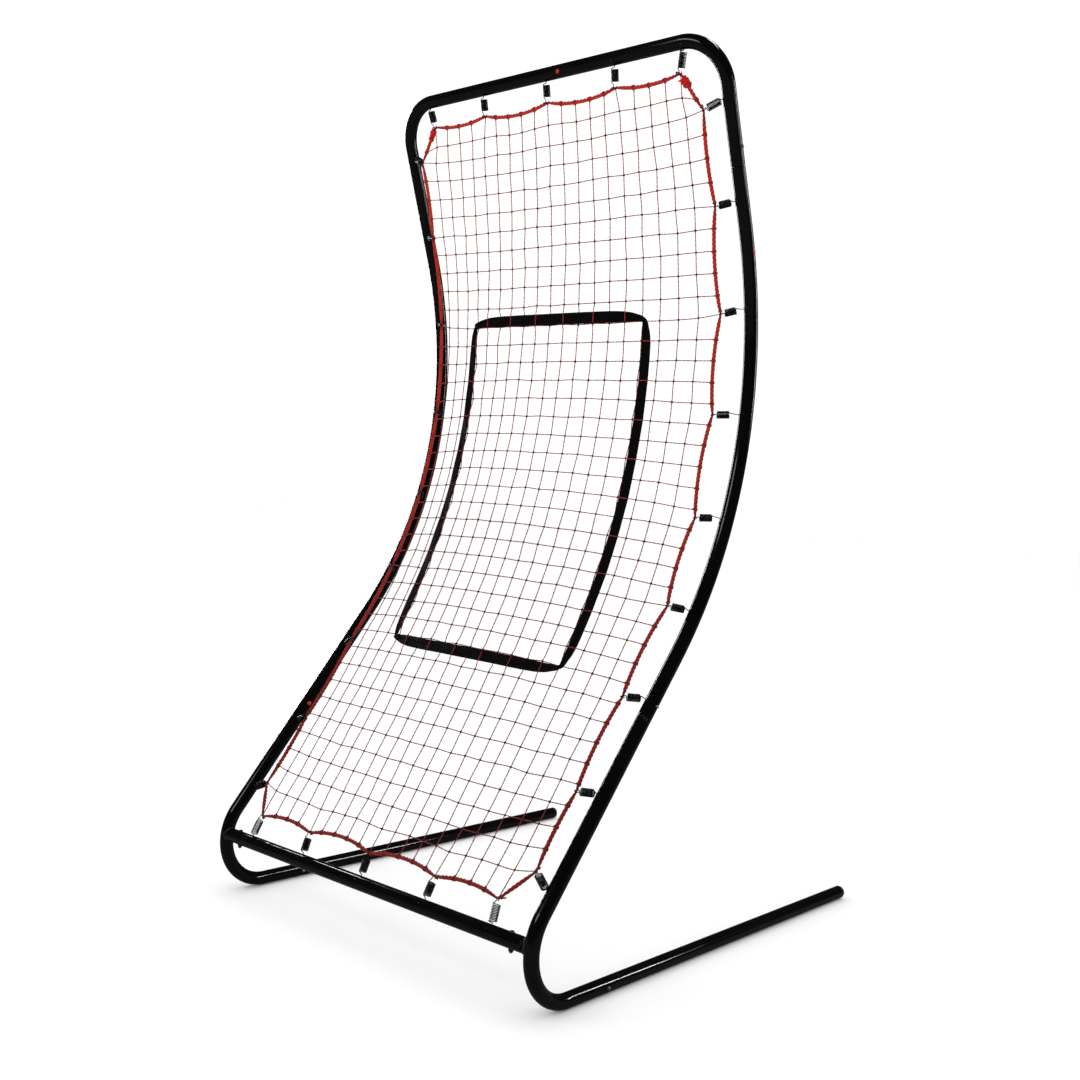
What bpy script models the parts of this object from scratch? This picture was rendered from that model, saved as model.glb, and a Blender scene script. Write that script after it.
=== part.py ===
"""Pitching target net: a J-footed steel tube frame, a knotted net hung on springs, and a strike-zone
frame of webbing.

Metres, +Z up. The origin is on the floor at the middle of the footprint. -Y is the thrower's side,
+Y is where the legs run back, X is the width, with the left side at -X.

Places on the side of the frame are given as s, the length along the tube's centre line upwards from
the upper end of the front bend. Distances along a leg (the _Y sizes from LEG_END on) are counted
back from where it leaves the front bend.
"""

import math

import bpy
import numpy as np
from mathutils import Vector

# ---------------------------------------------------------------- frame sizes
TUBE_R = 0.014            # 28 mm round steel tube
WALL = 0.0014
SEGS = 12                 # facets round a tube, a flat one downwards
SWAGE_R = 0.0121          # reduced end that slides into the next tube
SWAGE_LEN = 0.060
SHOULDER = 0.0025         # length of the step from full tube to swage
JOINT_GAP = 0.0005

HALF_W = 0.4405           # middle plane to side tube centre
BEND_R = 0.101            # front bend
LEAN = math.radians(51.1)       # lower straight above the floor
LOWER_STRAIGHT = 0.541
BACK_R = 0.874            # hollow of the back curve
TOP_LEAN = math.radians(109.7)  # upper straight, past vertical
UPPER_STRAIGHT = 0.257
CORNER_R = 0.0935
BEND_Y = -0.4341          # world Y where the straight legs run into the front bends
LEG_END = 0.972           # where the leg tube stops
LEG_JOINT_Y = 0.136
LOWER_JOINT_S = 0.400
UPPER_JOINT_S = 1.542
CROSSBAR_S = -0.055
CROSSBAR_GAP = 0.0010     # crossbar end to side tube skin
STUB_LEN = 0.062

BEND_LEN = BEND_R * (math.pi - LEAN)
S_ARC = LOWER_STRAIGHT + BACK_R * (TOP_LEAN - LEAN)   # upper end of the back curve
S_END = S_ARC + UPPER_STRAIGHT                        # start of the top corners
S_TOP = S_END + CORNER_R                              # top bar
FLOOR_Z = TUBE_R * math.cos(math.pi / SEGS)           # leg centre, its flat facet on the floor

# ---------------------------------------------------------------- fastener sizes
CUT_END = 0.020           # cutters stop this far from the tube centre, clear of the skin
HEAD_GAP = 0.0003         # tube skin to the underside of a head or nut

BUTTON_R = 0.0034
BUTTON_HOLE_R = 0.0039
BUTTON_TIP = 0.0182       # from the tube centre
LOWER_BUTTON_S = 0.432
UPPER_BUTTON_S = 1.577
LEG_BUTTON_Y = 0.099
LEAF_RISE = (0.0070, 0.0079)    # leaf spring faces, from the tube centre
LEAF_RUN = (-0.003, 0.026)      # its ends, along the tube from the button
LEAF_WIDTH = (-0.003, 0.003)

BOLT_X = 0.393
BOLT_R = 0.003
BOLT_HOLE_R = 0.0034
BOLT_END = -0.0222        # below the tube centre
NUT_R, NUT_BORE_R = 0.0049, 0.0035
NUT_FAR = 0.0050          # lower face of the nut, from the tube skin

PLUG_STEM_R = 0.0024
PLUG_HOLE_R = PLUG_STEM_R + 0.0004
PLUG_TILT = 0.3           # radians, left plug turned from straight inwards towards the front

# ---------------------------------------------------------------- hooks and springs
# Each side has nine springs, counted upwards; top and bottom have five, counted from the left.
SIDE_HOOK_S = (0.071, 0.233, 0.438, 0.6465, 0.845, 1.058, 1.263, 1.4726, 1.6505)  # nominal
LEFT_HOOK_S = (0.071, 0.233, 0.438, 0.6465, 0.845, 1.058, 1.277, 1.4870, 1.6580)  # as settled
RIGHT_HOOK_S = (0.068, 0.228, 0.428, 0.6385, 0.833, 1.052, 1.261, 1.4740, 1.6550)
LEFT_HOLE_S = (0.050, 0.230, 0.436, 0.6450, 0.848, 1.060, 1.280, 1.4880, 1.6760)
RIGHT_HOLE_S = (0.0340, 0.240, 0.446, 0.6450, 0.848, 1.060, 1.272, 1.4790, 1.6720)
# how far the rope hooks stand in front of the right tube
RIGHT_FORWARD = (0.007, 0.012, 0.021, 0.024, 0.033, 0.041, 0.030, 0.018, 0.016)
LEFT_FORWARD = 0.055      # the same on the left, at its greatest
FORWARD_CENTRE_S = 0.98   # where that is
FORWARD_HALF = 1.25       # from there to where it would reach nothing
SIDE_HOOK_X = 0.389
END_HOOK_X = (-0.342, -0.182, 0.0, 0.182, 0.342)
TOP_HOLE_X = (-0.356, -0.184, 0.0, 0.184, 0.356)
BOTTOM_HOLE_X = (-0.358, -0.186, -0.008, 0.170, 0.342)
END_DROP = 0.056          # rope hook to bar centre, top and bottom
END_FORWARD = 0.008

SPRING_R = 0.0078
SPRING_BODY = 0.026
SPRING_SHELL = 0.0014
SPRING_SHIFT = 0.001      # body moved towards the net from the middle of its gap
WIRE_R = 0.00105
WIRE_INSIDE = 0.0035      # how far the wire reaches inside the tube wall
HOOK_HOLE_R = 0.0023
HOOK_CLEAR = 0.0024       # wire end to rope skin

# ---------------------------------------------------------------- net, rope and webbing sizes
COLS, ROWS = 20, 39       # net cells across and up
HOOK_SNAP = 0.26          # a hook this near a rope knot, in cells, takes its place
END_PULL = 9.0            # rope tension against one net cord, along the top and bottom
SIDE_PULL = 16.0          # the same along the two long sides
EASE = 0.08               # loss of pull in the upright cords above and below the zone
NET_T = 0.002
PANEL_COLS, PANEL_ROWS = 8, 15   # panel faces between the outermost knots
REACH = 0.62              # share of the way from the outermost knots to the rope
CORNER_REACH = REACH * 0.9
ROPE_R = 0.004
ROPE_SEGS = 5
ROPE_PHASE = 0.3          # radians, first rope facet edge from the front
WEB_W, WEB_T, WEB_LIFT = 0.025, 0.0016, 0.0045
WEB_CORNER_W = 0.015      # the webbing gathers where it turns a corner
WEB_GATHER = 0.045
# strike zone edges in net cells: just outside columns 4 and 16, rows 10 and 28
ZONE_LEFT, ZONE_RIGHT = 3.62, 16.38
ZONE_BOTTOM, ZONE_TOP = 9.66, 28.34
LASHING_BORE_R = 0.0048
# lashing stations: distance from the last top hook, outer radius
LASHING = ((0.012, 0.0062), (0.016, 0.0076), (0.028, 0.0076), (0.032, 0.0062))

SIDES = ((-1, "left"), (1, "right"))
X_AXIS = Vector((1, 0, 0))
Y_AXIS = Vector((0, 1, 0))
Z_AXIS = Vector((0, 0, 1))

# ---------------------------------------------------------------- finishes
SHARP_ANGLE = math.radians(35)
BLACK_PAINT = dict(colour=(0.012, 0.012, 0.013), roughness=0.28, metallic=0.0)
CAP_BLACK = dict(colour=(0.015, 0.015, 0.015), roughness=0.6, metallic=0.0)
ZINC_BLACK = dict(colour=(0.05, 0.05, 0.055), roughness=0.35, metallic=0.9)
STEEL = dict(colour=(0.30, 0.30, 0.31), roughness=0.32, metallic=1.0)
ROPE_RED = dict(colour=(0.45, 0.02, 0.015), roughness=0.8, metallic=0.0)
CORD_RED = dict(colour=(0.22, 0.015, 0.015), roughness=0.85, metallic=0.0)
WEB_BLACK = dict(colour=(0.01, 0.01, 0.01), roughness=0.9, metallic=0.0)
PLUG_RED = dict(colour=(0.55, 0.01, 0.015), roughness=0.4, metallic=0.0)


def material(name, colour, roughness, metallic):
    mat = bpy.data.materials.new(name)
    mat.use_nodes = True
    inputs = mat.node_tree.nodes["Principled BSDF"].inputs
    inputs["Base Color"].default_value = (*colour, 1)
    inputs["Roughness"].default_value = roughness
    inputs["Metallic"].default_value = metallic
    return mat


# ---------------------------------------------------------------- objects and modifiers
def clear_scene():
    for ob in list(bpy.data.objects):
        bpy.data.objects.remove(ob)
    for mesh in list(bpy.data.meshes):
        bpy.data.meshes.remove(mesh)


def new_object(name, verts, faces, finish, smooth=True):
    mesh = bpy.data.meshes.new(name)
    mesh.from_pydata([tuple(v) for v in verts], [], faces)
    mesh.validate()
    mesh.update()
    ob = bpy.data.objects.new(name, mesh)
    bpy.context.scene.collection.objects.link(ob)
    if smooth:
        mesh.shade_smooth()
        mesh.set_sharp_from_angle(angle=SHARP_ANGLE)
    mesh.materials.append(material(name + "_finish", **finish))
    return ob


def make_helper(ob):
    ob.hide_render = True
    ob.display_type = "WIRE"
    return ob


def cutter(name, verts, faces):
    return make_helper(new_object("cut_" + name, verts, faces, STEEL, smooth=False))


def boolean(ob, other, operation):
    mod = ob.modifiers.new(operation.title() + "_" + other.name, "BOOLEAN")
    mod.operation = operation
    mod.solver = "EXACT"
    mod.object = other


def drill(ob, *names):
    """Cut the named holes out of ob."""
    for name in names:
        boolean(ob, bpy.data.objects["cut_" + name], "DIFFERENCE")


def spring_names(edge, first, last):
    return [f"spring_{edge}_{k}" for k in range(first, last + 1)]


# ---------------------------------------------------------------- the side line of the frame
def side(s):
    """y, z and direction angle of the side tube's centre line. Below -BEND_LEN it is the leg."""
    if s < -BEND_LEN:
        return BEND_Y - (s + BEND_LEN), FLOOR_Z, math.pi
    if s < 0:
        turn = (s + BEND_LEN) / BEND_R
        y = BEND_Y - BEND_R * math.sin(turn)
        return y, FLOOR_Z + BEND_R * (1 - math.cos(turn)), math.pi - turn
    run = min(s, LOWER_STRAIGHT)
    y = BEND_Y - BEND_R * math.sin(LEAN) + run * math.cos(LEAN)
    z = FLOOR_Z + BEND_R * (1 + math.cos(LEAN)) + run * math.sin(LEAN)
    if s < LOWER_STRAIGHT:
        return y, z, LEAN
    angle = min(LEAN + (s - LOWER_STRAIGHT) / BACK_R, TOP_LEAN)
    y += BACK_R * (math.sin(angle) - math.sin(LEAN))
    z += BACK_R * (math.cos(LEAN) - math.cos(angle))
    run = max(s - S_ARC, 0.0)
    return y + run * math.cos(angle), z + run * math.sin(angle), angle


def point(x, s, forward=0.0):
    """A point at width x and place s, standing forward of the side line towards the thrower."""
    y, z, angle = side(s)
    return Vector((x, y - forward * math.sin(angle), z + forward * math.cos(angle)))


def tangent(s):
    angle = side(s)[2]
    return Vector((0, math.cos(angle), math.sin(angle)))


def leg_s(distance):
    return -BEND_LEN - distance


def span(start, end, steps):
    return [start + (end - start) * k / steps for k in range(steps + 1)]


# ---------------------------------------------------------------- sweeps and lathes
def ring(centre, u, v, radius, segs, phase):
    angles = [phase + 2 * math.pi * k / segs for k in range(segs)]
    return [centre + u * (radius * math.cos(a)) + v * (radius * math.sin(a)) for a in angles]


def tube(name, stations, finish, segs=SEGS):
    """Open-ended tube. Stations are (centre, direction, side axis, outer radius, inner radius)."""
    verts, faces = [], []
    for radius_column in (3, 4):
        for station in stations:
            direction, across = station[1].normalized(), station[2].normalized()
            verts += ring(station[0], across, direction.cross(across),
                          station[radius_column], segs, math.pi / segs)
    count = len(stations)

    def outer(i, k):
        return i * segs + k % segs

    def inner(i, k):
        return outer(count + i, k)

    for i in range(count - 1):
        for k in range(segs):
            faces.append((outer(i, k), outer(i, k + 1), outer(i + 1, k + 1), outer(i + 1, k)))
            faces.append((inner(i, k + 1), inner(i, k), inner(i + 1, k), inner(i + 1, k + 1)))
    end = count - 1
    for k in range(segs):
        faces.append((outer(0, k + 1), outer(0, k), inner(0, k), inner(0, k + 1)))
        faces.append((outer(end, k), outer(end, k + 1), inner(end, k + 1), inner(end, k)))
    return new_object(name, verts, faces, finish)


def lathe(origin, axis, profile, segs, phase=0.0):
    """Solid turned about axis from profile, [(distance along axis, radius), ...], ends closed."""
    axis = Vector(axis).normalized()
    reference = Z_AXIS if abs(axis.z) < 0.9 else X_AXIS
    u = (reference - axis * reference.dot(axis)).normalized()
    v = axis.cross(u)
    verts, faces = [], []
    for distance, radius in profile:
        verts += ring(Vector(origin) + axis * distance, u, v, radius, segs, phase)
    for i in range(len(profile) - 1):
        low, high = i * segs, (i + 1) * segs
        for k in range(segs):
            after = (k + 1) % segs
            faces.append((low + k, low + after, high + after, high + k))
    faces.append(tuple(reversed(range(segs))))
    faces.append(tuple((len(profile) - 1) * segs + k for k in range(segs)))
    return verts, faces


def hole_cutter(name, centre, axis, start, radius, segs=8):
    cutter(name, *lathe(centre, axis, [(start, radius), (CUT_END, radius)], segs))


def walled(centre, direction, across, radius):
    """Tube station with the frame's wall thickness."""
    return centre, direction, across, radius, radius - WALL


def side_run(x, full_s, swaged_s):
    """Stations along the side line, full size and then swaged."""
    places = [(s, TUBE_R) for s in full_s] + [(s, SWAGE_R) for s in swaged_s]
    return [walled(point(x, s), tangent(s), X_AXIS, radius) for s, radius in places]


# ---------------------------------------------------------------- places of springs and fasteners
def left_forward(s):
    quarter_turns = (s - FORWARD_CENTRE_S) / FORWARD_HALF
    return LEFT_FORWARD * math.cos(math.pi * quarter_turns / 2) ** 2


HOOKS = {
    "left": [point(-SIDE_HOOK_X, s, left_forward(s)) for s in LEFT_HOOK_S],
    "right": [point(SIDE_HOOK_X, s, fwd) for s, fwd in zip(RIGHT_HOOK_S, RIGHT_FORWARD)],
    "top": [point(x, S_TOP - END_DROP, END_FORWARD) for x in END_HOOK_X],
    "bottom": [point(x, CROSSBAR_S + END_DROP, END_FORWARD) for x in END_HOOK_X],
}
HOLES = {   # tube centre points behind the spring holes
    "left": [point(-HALF_W, s) for s in LEFT_HOLE_S],
    "right": [point(HALF_W, s) for s in RIGHT_HOLE_S],
    "top": [point(x, S_TOP) for x in TOP_HOLE_X],
    "bottom": [point(x, CROSSBAR_S) for x in BOTTOM_HOLE_X],
}
SPRINGS = [(f"spring_{edge}_{k + 1}", HOLES[edge][k], hook)
           for edge in HOOKS for k, hook in enumerate(HOOKS[edge])]

BUTTONS = []    # name, x, s, axis
for sign, word in SIDES:
    BUTTONS += [
        (f"snap_button_lower_{word}", sign * HALF_W, LOWER_BUTTON_S, X_AXIS * sign),
        (f"snap_button_upper_{word}", sign * HALF_W, UPPER_BUTTON_S, X_AXIS * sign),
        (f"snap_button_leg_{word}", sign * HALF_W, leg_s(LEG_BUTTON_Y), X_AXIS),
    ]

PLUGS = (       # name, tube centre point, axis
    ("plug_top_bar", point(0.045, S_TOP), Vector((0, -math.sin(TOP_LEAN), math.cos(TOP_LEAN)))),
    ("plug_right_side", point(HALF_W, 1.379), X_AXIS),
    ("plug_left_side", point(-HALF_W, 0.275),
     Vector((math.cos(PLUG_TILT), -math.sin(PLUG_TILT) * math.sin(LEAN),
             math.sin(PLUG_TILT) * math.cos(LEAN)))),
)


def hole_cutters():
    for name, centre, hook in SPRINGS:
        hole_cutter(name, centre, hook - centre, 0.006, HOOK_HOLE_R, segs=6)
    for name, x, s, axis in BUTTONS:
        hole_cutter(name, point(x, s), axis, 0.0, BUTTON_HOLE_R)
    for sign, word in SIDES:
        # right through the crossbar, top and bottom
        hole_cutter("bolt_" + word, point(sign * BOLT_X, CROSSBAR_S), Z_AXIS, -CUT_END, BOLT_HOLE_R)
    for name, centre, axis in PLUGS:
        hole_cutter(name, centre, axis, 0.008, PLUG_HOLE_R)


# ---------------------------------------------------------------- frame tubes
def side_tube(x, word):
    """Back curve, swaged at its upper end."""
    full_s = [LOWER_JOINT_S, *span(LOWER_STRAIGHT, S_ARC, 9), UPPER_JOINT_S - SHOULDER]
    swaged_s = [UPPER_JOINT_S, UPPER_JOINT_S + SWAGE_LEN]
    ob = tube(f"side_tube_{word}", side_run(x, full_s, swaged_s), BLACK_PAINT)
    drill(ob, *spring_names(word, 3, 8))
    drill(ob, f"snap_button_lower_{word}", f"snap_button_upper_{word}")
    if word == "right":
        drill(ob, "plug_right_side")


def base_bend(x, word):
    """Leg socket, front bend, lower side, swaged top end and welded crossbar stub."""
    joint = LOWER_JOINT_S - JOINT_GAP
    full_s = [leg_s(LEG_JOINT_Y), *span(-BEND_LEN, 0, 8), joint - SHOULDER]
    swaged_s = [joint, LOWER_JOINT_S + SWAGE_LEN]
    ob = tube(f"base_bend_{word}", side_run(x, full_s, swaged_s), BLACK_PAINT)

    centre = point(x, CROSSBAR_S)
    inward = X_AXIS * math.copysign(1, -x)
    # the stub starts within the side tube's wall
    stations = [walled(centre + inward * distance, inward, Z_AXIS, SWAGE_R)
                for distance in (TUBE_R - WALL * 0.6, TUBE_R + STUB_LEN)]
    stub = make_helper(tube(f"cut_stub_{word}", stations, BLACK_PAINT))
    boolean(ob, stub, "UNION")
    drill(ob, *spring_names(word, 1, 3))
    drill(ob, f"snap_button_lower_{word}", f"snap_button_leg_{word}", f"bolt_{word}")
    if word == "left":
        drill(ob, "plug_left_side")


def leg(x, word):
    """Straight leg, swaged at its front end."""
    joint = LEG_JOINT_Y + JOINT_GAP
    full_s = [leg_s(LEG_END), leg_s(joint + SHOULDER)]
    swaged_s = [leg_s(joint), leg_s(LEG_JOINT_Y - SWAGE_LEN)]
    ob = tube(f"leg_{word}", side_run(x, full_s, swaged_s), BLACK_PAINT)
    drill(ob, f"snap_button_leg_{word}")


def leg_cap(x, word):
    """Domed cap pushed into the leg's open back end."""
    bore = TUBE_R - WALL
    profile = [(-0.018, bore - 0.0013), (0.0004, bore - 0.0006), (0.0004, TUBE_R)]
    profile += [(0.004 + 0.006 * math.sin(a), TUBE_R - 0.009 * (1 - math.cos(a)))
                for a in span(0, math.pi / 2, 3)]
    solid = lathe(point(x, leg_s(LEG_END)), Y_AXIS, profile, SEGS, phase=math.pi / SEGS)
    new_object(f"leg_cap_{word}", *solid, CAP_BLACK)


def top_bow():
    """Up the left, over the corners, across and down the right."""
    up = tangent(S_END)
    front = X_AXIS.cross(up)
    start_s = UPPER_JOINT_S + JOINT_GAP
    stations = [walled(point(-HALF_W, start_s), up, front, TUBE_R)]
    quarter = math.pi / 2
    for sign, turns in ((-1, span(0, quarter, 5)), (1, span(quarter, 0, 5))):
        for turn in turns:
            x = sign * (HALF_W - CORNER_R * (1 - math.cos(turn)))
            centre = point(x, S_END + CORNER_R * math.sin(turn))
            direction = up * (-sign * math.cos(turn)) + X_AXIS * math.sin(turn)
            stations.append(walled(centre, direction, front, TUBE_R))
    stations.append(walled(point(HALF_W, start_s), -up, front, TUBE_R))
    ob = tube("top_bow", stations, BLACK_PAINT)
    for _, word in SIDES:
        drill(ob, f"spring_{word}_9", f"snap_button_upper_{word}")
    drill(ob, *spring_names("top", 1, 5), "plug_top_bar")


def crossbar():
    """Straight bar slid over the stubs."""
    end = HALF_W - TUBE_R - CROSSBAR_GAP
    stations = [walled(point(x, CROSSBAR_S), X_AXIS, Z_AXIS, TUBE_R) for x in (-end, end)]
    ob = tube("crossbar", stations, BLACK_PAINT)
    drill(ob, *spring_names("bottom", 1, 5), "bolt_left", "bolt_right")


# ---------------------------------------------------------------- fasteners, plugs and springs
def bolt_and_nut(sign, word):
    """Upright through the crossbar, head on top."""
    centre = point(sign * BOLT_X, CROSSBAR_S)
    seat = TUBE_R + HEAD_GAP
    profile = [(BOLT_END, BOLT_R), (seat, BOLT_R), (seat, 0.0052),
               (TUBE_R + 0.0022, 0.0050), (TUBE_R + 0.0038, 0.0030)]
    new_object(f"crossbar_bolt_{word}", *lathe(centre, Z_AXIS, profile, 12), ZINC_BLACK)
    stations = [(centre - Z_AXIS * drop, -Z_AXIS, X_AXIS, NUT_R, NUT_BORE_R)
                for drop in (seat, TUBE_R + NUT_FAR)]
    tube(f"crossbar_nut_{word}", stations, ZINC_BLACK, segs=6)


def snap_button(name, x, s, axis):
    profile = [(0.0078, 0.0044), (0.0088, 0.0044), (0.0088, BUTTON_R),
               (BUTTON_TIP - 0.0020, BUTTON_R), (BUTTON_TIP - 0.0006, 0.0024),
               (BUTTON_TIP, 0.0010)]
    centre = point(x, s)
    ob = new_object(name, *lathe((0, 0, 0), axis, profile, 10), STEEL)
    ob.location = centre
    # the near arm of its leaf spring, running along the tube towards lower s
    down = -tangent(s)
    across = axis.cross(down)
    box = [centre + (axis * rise + down * run + across * width)
           for rise in LEAF_RISE for run in LEAF_RUN for width in LEAF_WIDTH]
    faces = [(0, 1, 3, 2), (4, 6, 7, 5), (0, 4, 5, 1), (2, 3, 7, 6), (0, 2, 6, 4), (1, 5, 7, 3)]
    boolean(ob, cutter("leaf_" + name, box, faces), "UNION")


def plug(name, centre, axis):
    seat = TUBE_R + HEAD_GAP
    profile = [(0.0095, PLUG_STEM_R), (seat, PLUG_STEM_R), (seat, 0.0042),
               (TUBE_R + 0.0012, 0.0040), (TUBE_R + 0.0019, 0.0022)]
    new_object(name, *lathe(centre, axis, profile, 10), PLUG_RED)


def spring(name, centre, hook):
    """Wire with a cup-shaped body, hollow towards the net. Its origin is in the tube wall."""
    to_hook = hook - centre
    start = TUBE_R - WALL - WIRE_INSIDE
    end = to_hook.length - ROPE_R - HOOK_CLEAR
    middle = (TUBE_R + end) / 2 + SPRING_SHIFT
    near, far = middle - SPRING_BODY / 2, middle + SPRING_BODY / 2
    floor, bore = near + SPRING_SHELL, SPRING_R - SPRING_SHELL
    profile = [(start, WIRE_R), (near, WIRE_R), (near, SPRING_R), (far, SPRING_R),
               (far, bore), (floor, bore), (floor, WIRE_R), (end, WIRE_R)]
    verts, faces = lathe(centre, to_hook, profile, 8)
    pivot = centre + to_hook.normalized() * (TUBE_R - WALL / 2)
    ob = new_object(name, [v - pivot for v in verts], faces, ZINC_BLACK)
    ob.location = pivot


# ---------------------------------------------------------------- the net in balance
def hook_cells(places, last_cell):
    """Net cells of the hooks, from 1 to last_cell in proportion to their places."""
    first, last = places[0], places[-1]
    return [1 + (place - first) / (last - first) * (last_cell - 1) for place in places]


def rope_edge(cells, hooked, hooks):
    """(cell, hook point or None) along one edge; a hook replaces a knot close to it."""
    items = [(c, None) for c in cells if all(abs(c - h) >= HOOK_SNAP for h in hooked)]
    return sorted(items + list(zip(hooked, hooks)), key=lambda item: item[0])


def rope_loop():
    """(column, row, hook point or None) round the net: bottom, right, top, left."""
    cols, rows = range(1, COLS), range(1, ROWS)
    hook_cols = hook_cells(END_HOOK_X, COLS - 1)
    hook_rows = hook_cells(SIDE_HOOK_S, ROWS - 2)
    bottom = rope_edge(cols, hook_cols, HOOKS["bottom"])
    right = rope_edge(rows, hook_rows, HOOKS["right"])
    top = rope_edge(cols, hook_cols, HOOKS["top"])
    left = rope_edge(rows, hook_rows, HOOKS["left"])
    loop = [(c, 0, hook) for c, hook in bottom] + [(COLS, r, hook) for r, hook in right]
    loop += [(c, ROWS, hook) for c, hook in reversed(top)]
    return loop + [(0, r, hook) for r, hook in reversed(left)]


def solve_net(loop):
    """Balance every cord and rope pull with the hooks held. Returns the index of each knot and
    all positions, the rope's first."""
    index = {}
    for k, (col, row, hook) in enumerate(loop):
        near = (round(col), round(row))
        if hook is None or abs(col - near[0]) + abs(row - near[1]) < HOOK_SNAP:
            index[near] = k
    count = len(loop)
    for i in range(1, COLS):
        for j in range(1, ROWS):
            index[(i, j)] = count
            count += 1
    pull = np.zeros((count, count))

    def tie(a, b, strength):
        pull[a, b] += strength
        pull[b, a] += strength

    for i in range(COLS):
        for j in range(1, ROWS):
            tie(index[(i, j)], index[(i + 1, j)], 1.0)
    for i in range(1, COLS):
        for j in range(ROWS):
            in_zone = ZONE_BOTTOM < j < ZONE_TOP - 1
            tie(index[(i, j)], index[(i, j + 1)], 1.0 if in_zone else 1.0 - EASE)
    for k, (col, row, _) in enumerate(loop):
        after = (k + 1) % len(loop)
        next_col, next_row, _ = loop[after]
        tension = SIDE_PULL if col == next_col else END_PULL
        tie(k, after, tension / math.hypot(col - next_col, row - next_row))

    positions = np.zeros((count, 3))
    held = np.zeros(count, dtype=bool)
    for k, (_, _, hook) in enumerate(loop):
        if hook is not None:
            held[k] = True
            positions[k] = tuple(hook)
    free = ~held
    balance = np.diag(pull.sum(1)) - pull
    load = -balance[np.ix_(free, held)] @ positions[held]
    positions[free] = np.linalg.solve(balance[np.ix_(free, free)], load)
    return index, positions


ROPE_LOOP = rope_loop()
KNOT_INDEX, POSITIONS = solve_net(ROPE_LOOP)


def knot(i, j):
    return Vector(POSITIONS[KNOT_INDEX[(i, j)]])


def sheet(i, j):
    """Point on the net at fractional cell position, inside the outermost knots."""
    i0, j0 = min(max(int(i), 1), COLS - 2), min(max(int(j), 1), ROWS - 2)
    across, up = i - i0, j - j0
    low = knot(i0, j0) * (1 - across) + knot(i0 + 1, j0) * across
    high = knot(i0, j0 + 1) * (1 - across) + knot(i0 + 1, j0 + 1) * across
    return low * (1 - up) + high * up


def sheet_normal(i, j):
    """Net normal towards the thrower, measured over one cell."""
    half = 0.5
    i = min(max(i, 1 + half), COLS - 1 - half)
    j = min(max(j, 1 + half), ROWS - 1 - half)
    across = sheet(i + half, j) - sheet(i - half, j)
    normal = across.cross(sheet(i, j + half) - sheet(i, j - half)).normalized()
    return normal if normal.y < 0 else -normal


def rim(i, j):
    """Point on the rope between neighbouring knots of one edge."""
    i0, j0 = int(math.floor(i + 1e-9)), int(math.floor(j + 1e-9))
    i1 = i0 if i in (0, COLS) else min(i0 + 1, COLS - 1)
    j1 = j0 if j in (0, ROWS) else min(j0 + 1, ROWS - 1)
    part = max(i - i0, j - j0)
    return knot(i0, j0) * (1 - part) + knot(i1, j1) * part


def panel_point(i, j):
    near_i, near_j = min(max(i, 1), COLS - 1), min(max(j, 1), ROWS - 1)
    inner = sheet(near_i, near_j)
    if (near_i, near_j) == (i, j):
        return inner
    if near_i != i and near_j != j:
        edge = (rim(i, near_j) + rim(near_i, j)) / 2
        return inner + (edge - inner) * CORNER_REACH
    return inner + (rim(i, j) - inner) * REACH


def net_panel():
    """One closed sheet that stops just inside the border rope."""
    i_lines = [0, *span(1, COLS - 1, PANEL_COLS), COLS]
    j_lines = [0, *span(1, ROWS - 1, PANEL_ROWS), ROWS]
    cols, rows = len(i_lines), len(j_lines)
    verts, faces = [], []
    for lift in (NET_T / 2, -NET_T / 2):
        verts += [panel_point(i, j) + sheet_normal(i, j) * lift for j in j_lines for i in i_lines]

    def front(r, c):
        return r * cols + c

    def back(r, c):
        return front(rows + r, c)

    for r in range(rows - 1):
        for c in range(cols - 1):
            faces.append((front(r, c), front(r, c + 1), front(r + 1, c + 1), front(r + 1, c)))
            faces.append((back(r, c), back(r + 1, c), back(r + 1, c + 1), back(r, c + 1)))
    border = [(0, c) for c in range(cols)] + [(r, cols - 1) for r in range(1, rows)]
    border += [(rows - 1, c) for c in range(cols - 2, -1, -1)]
    border += [(r, 0) for r in range(rows - 2, 0, -1)]
    for a, b in zip(border, border[1:] + border[:1]):
        faces.append((front(*b), front(*a), back(*a), back(*b)))
    new_object("net_mesh", verts, faces, CORD_RED)


def border_rope():
    """Closed ring through every hook and some of the knots between them."""
    hooked = [hook is not None for _, _, hook in ROPE_LOOP]
    points = [Vector(POSITIONS[k]) for k in range(len(ROPE_LOOP))
              if hooked[k] or (not hooked[k - 1] and k % 2 == 0)]
    front = Vector((0, -1, 0.25))
    verts, faces = [], []
    for k, centre in enumerate(points):
        after = (k + 1) % len(points)
        direction = (points[after] - points[k - 1]).normalized()
        u = (front - direction * front.dot(direction)).normalized()
        verts += ring(centre, u, direction.cross(u), ROPE_R, ROPE_SEGS, ROPE_PHASE)
        a, b = k * ROPE_SEGS, after * ROPE_SEGS
        for m in range(ROPE_SEGS):
            n = (m + 1) % ROPE_SEGS
            faces.append((a + m, a + n, b + n, b + m))
    new_object("border_rope", verts, faces, ROPE_RED)


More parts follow.
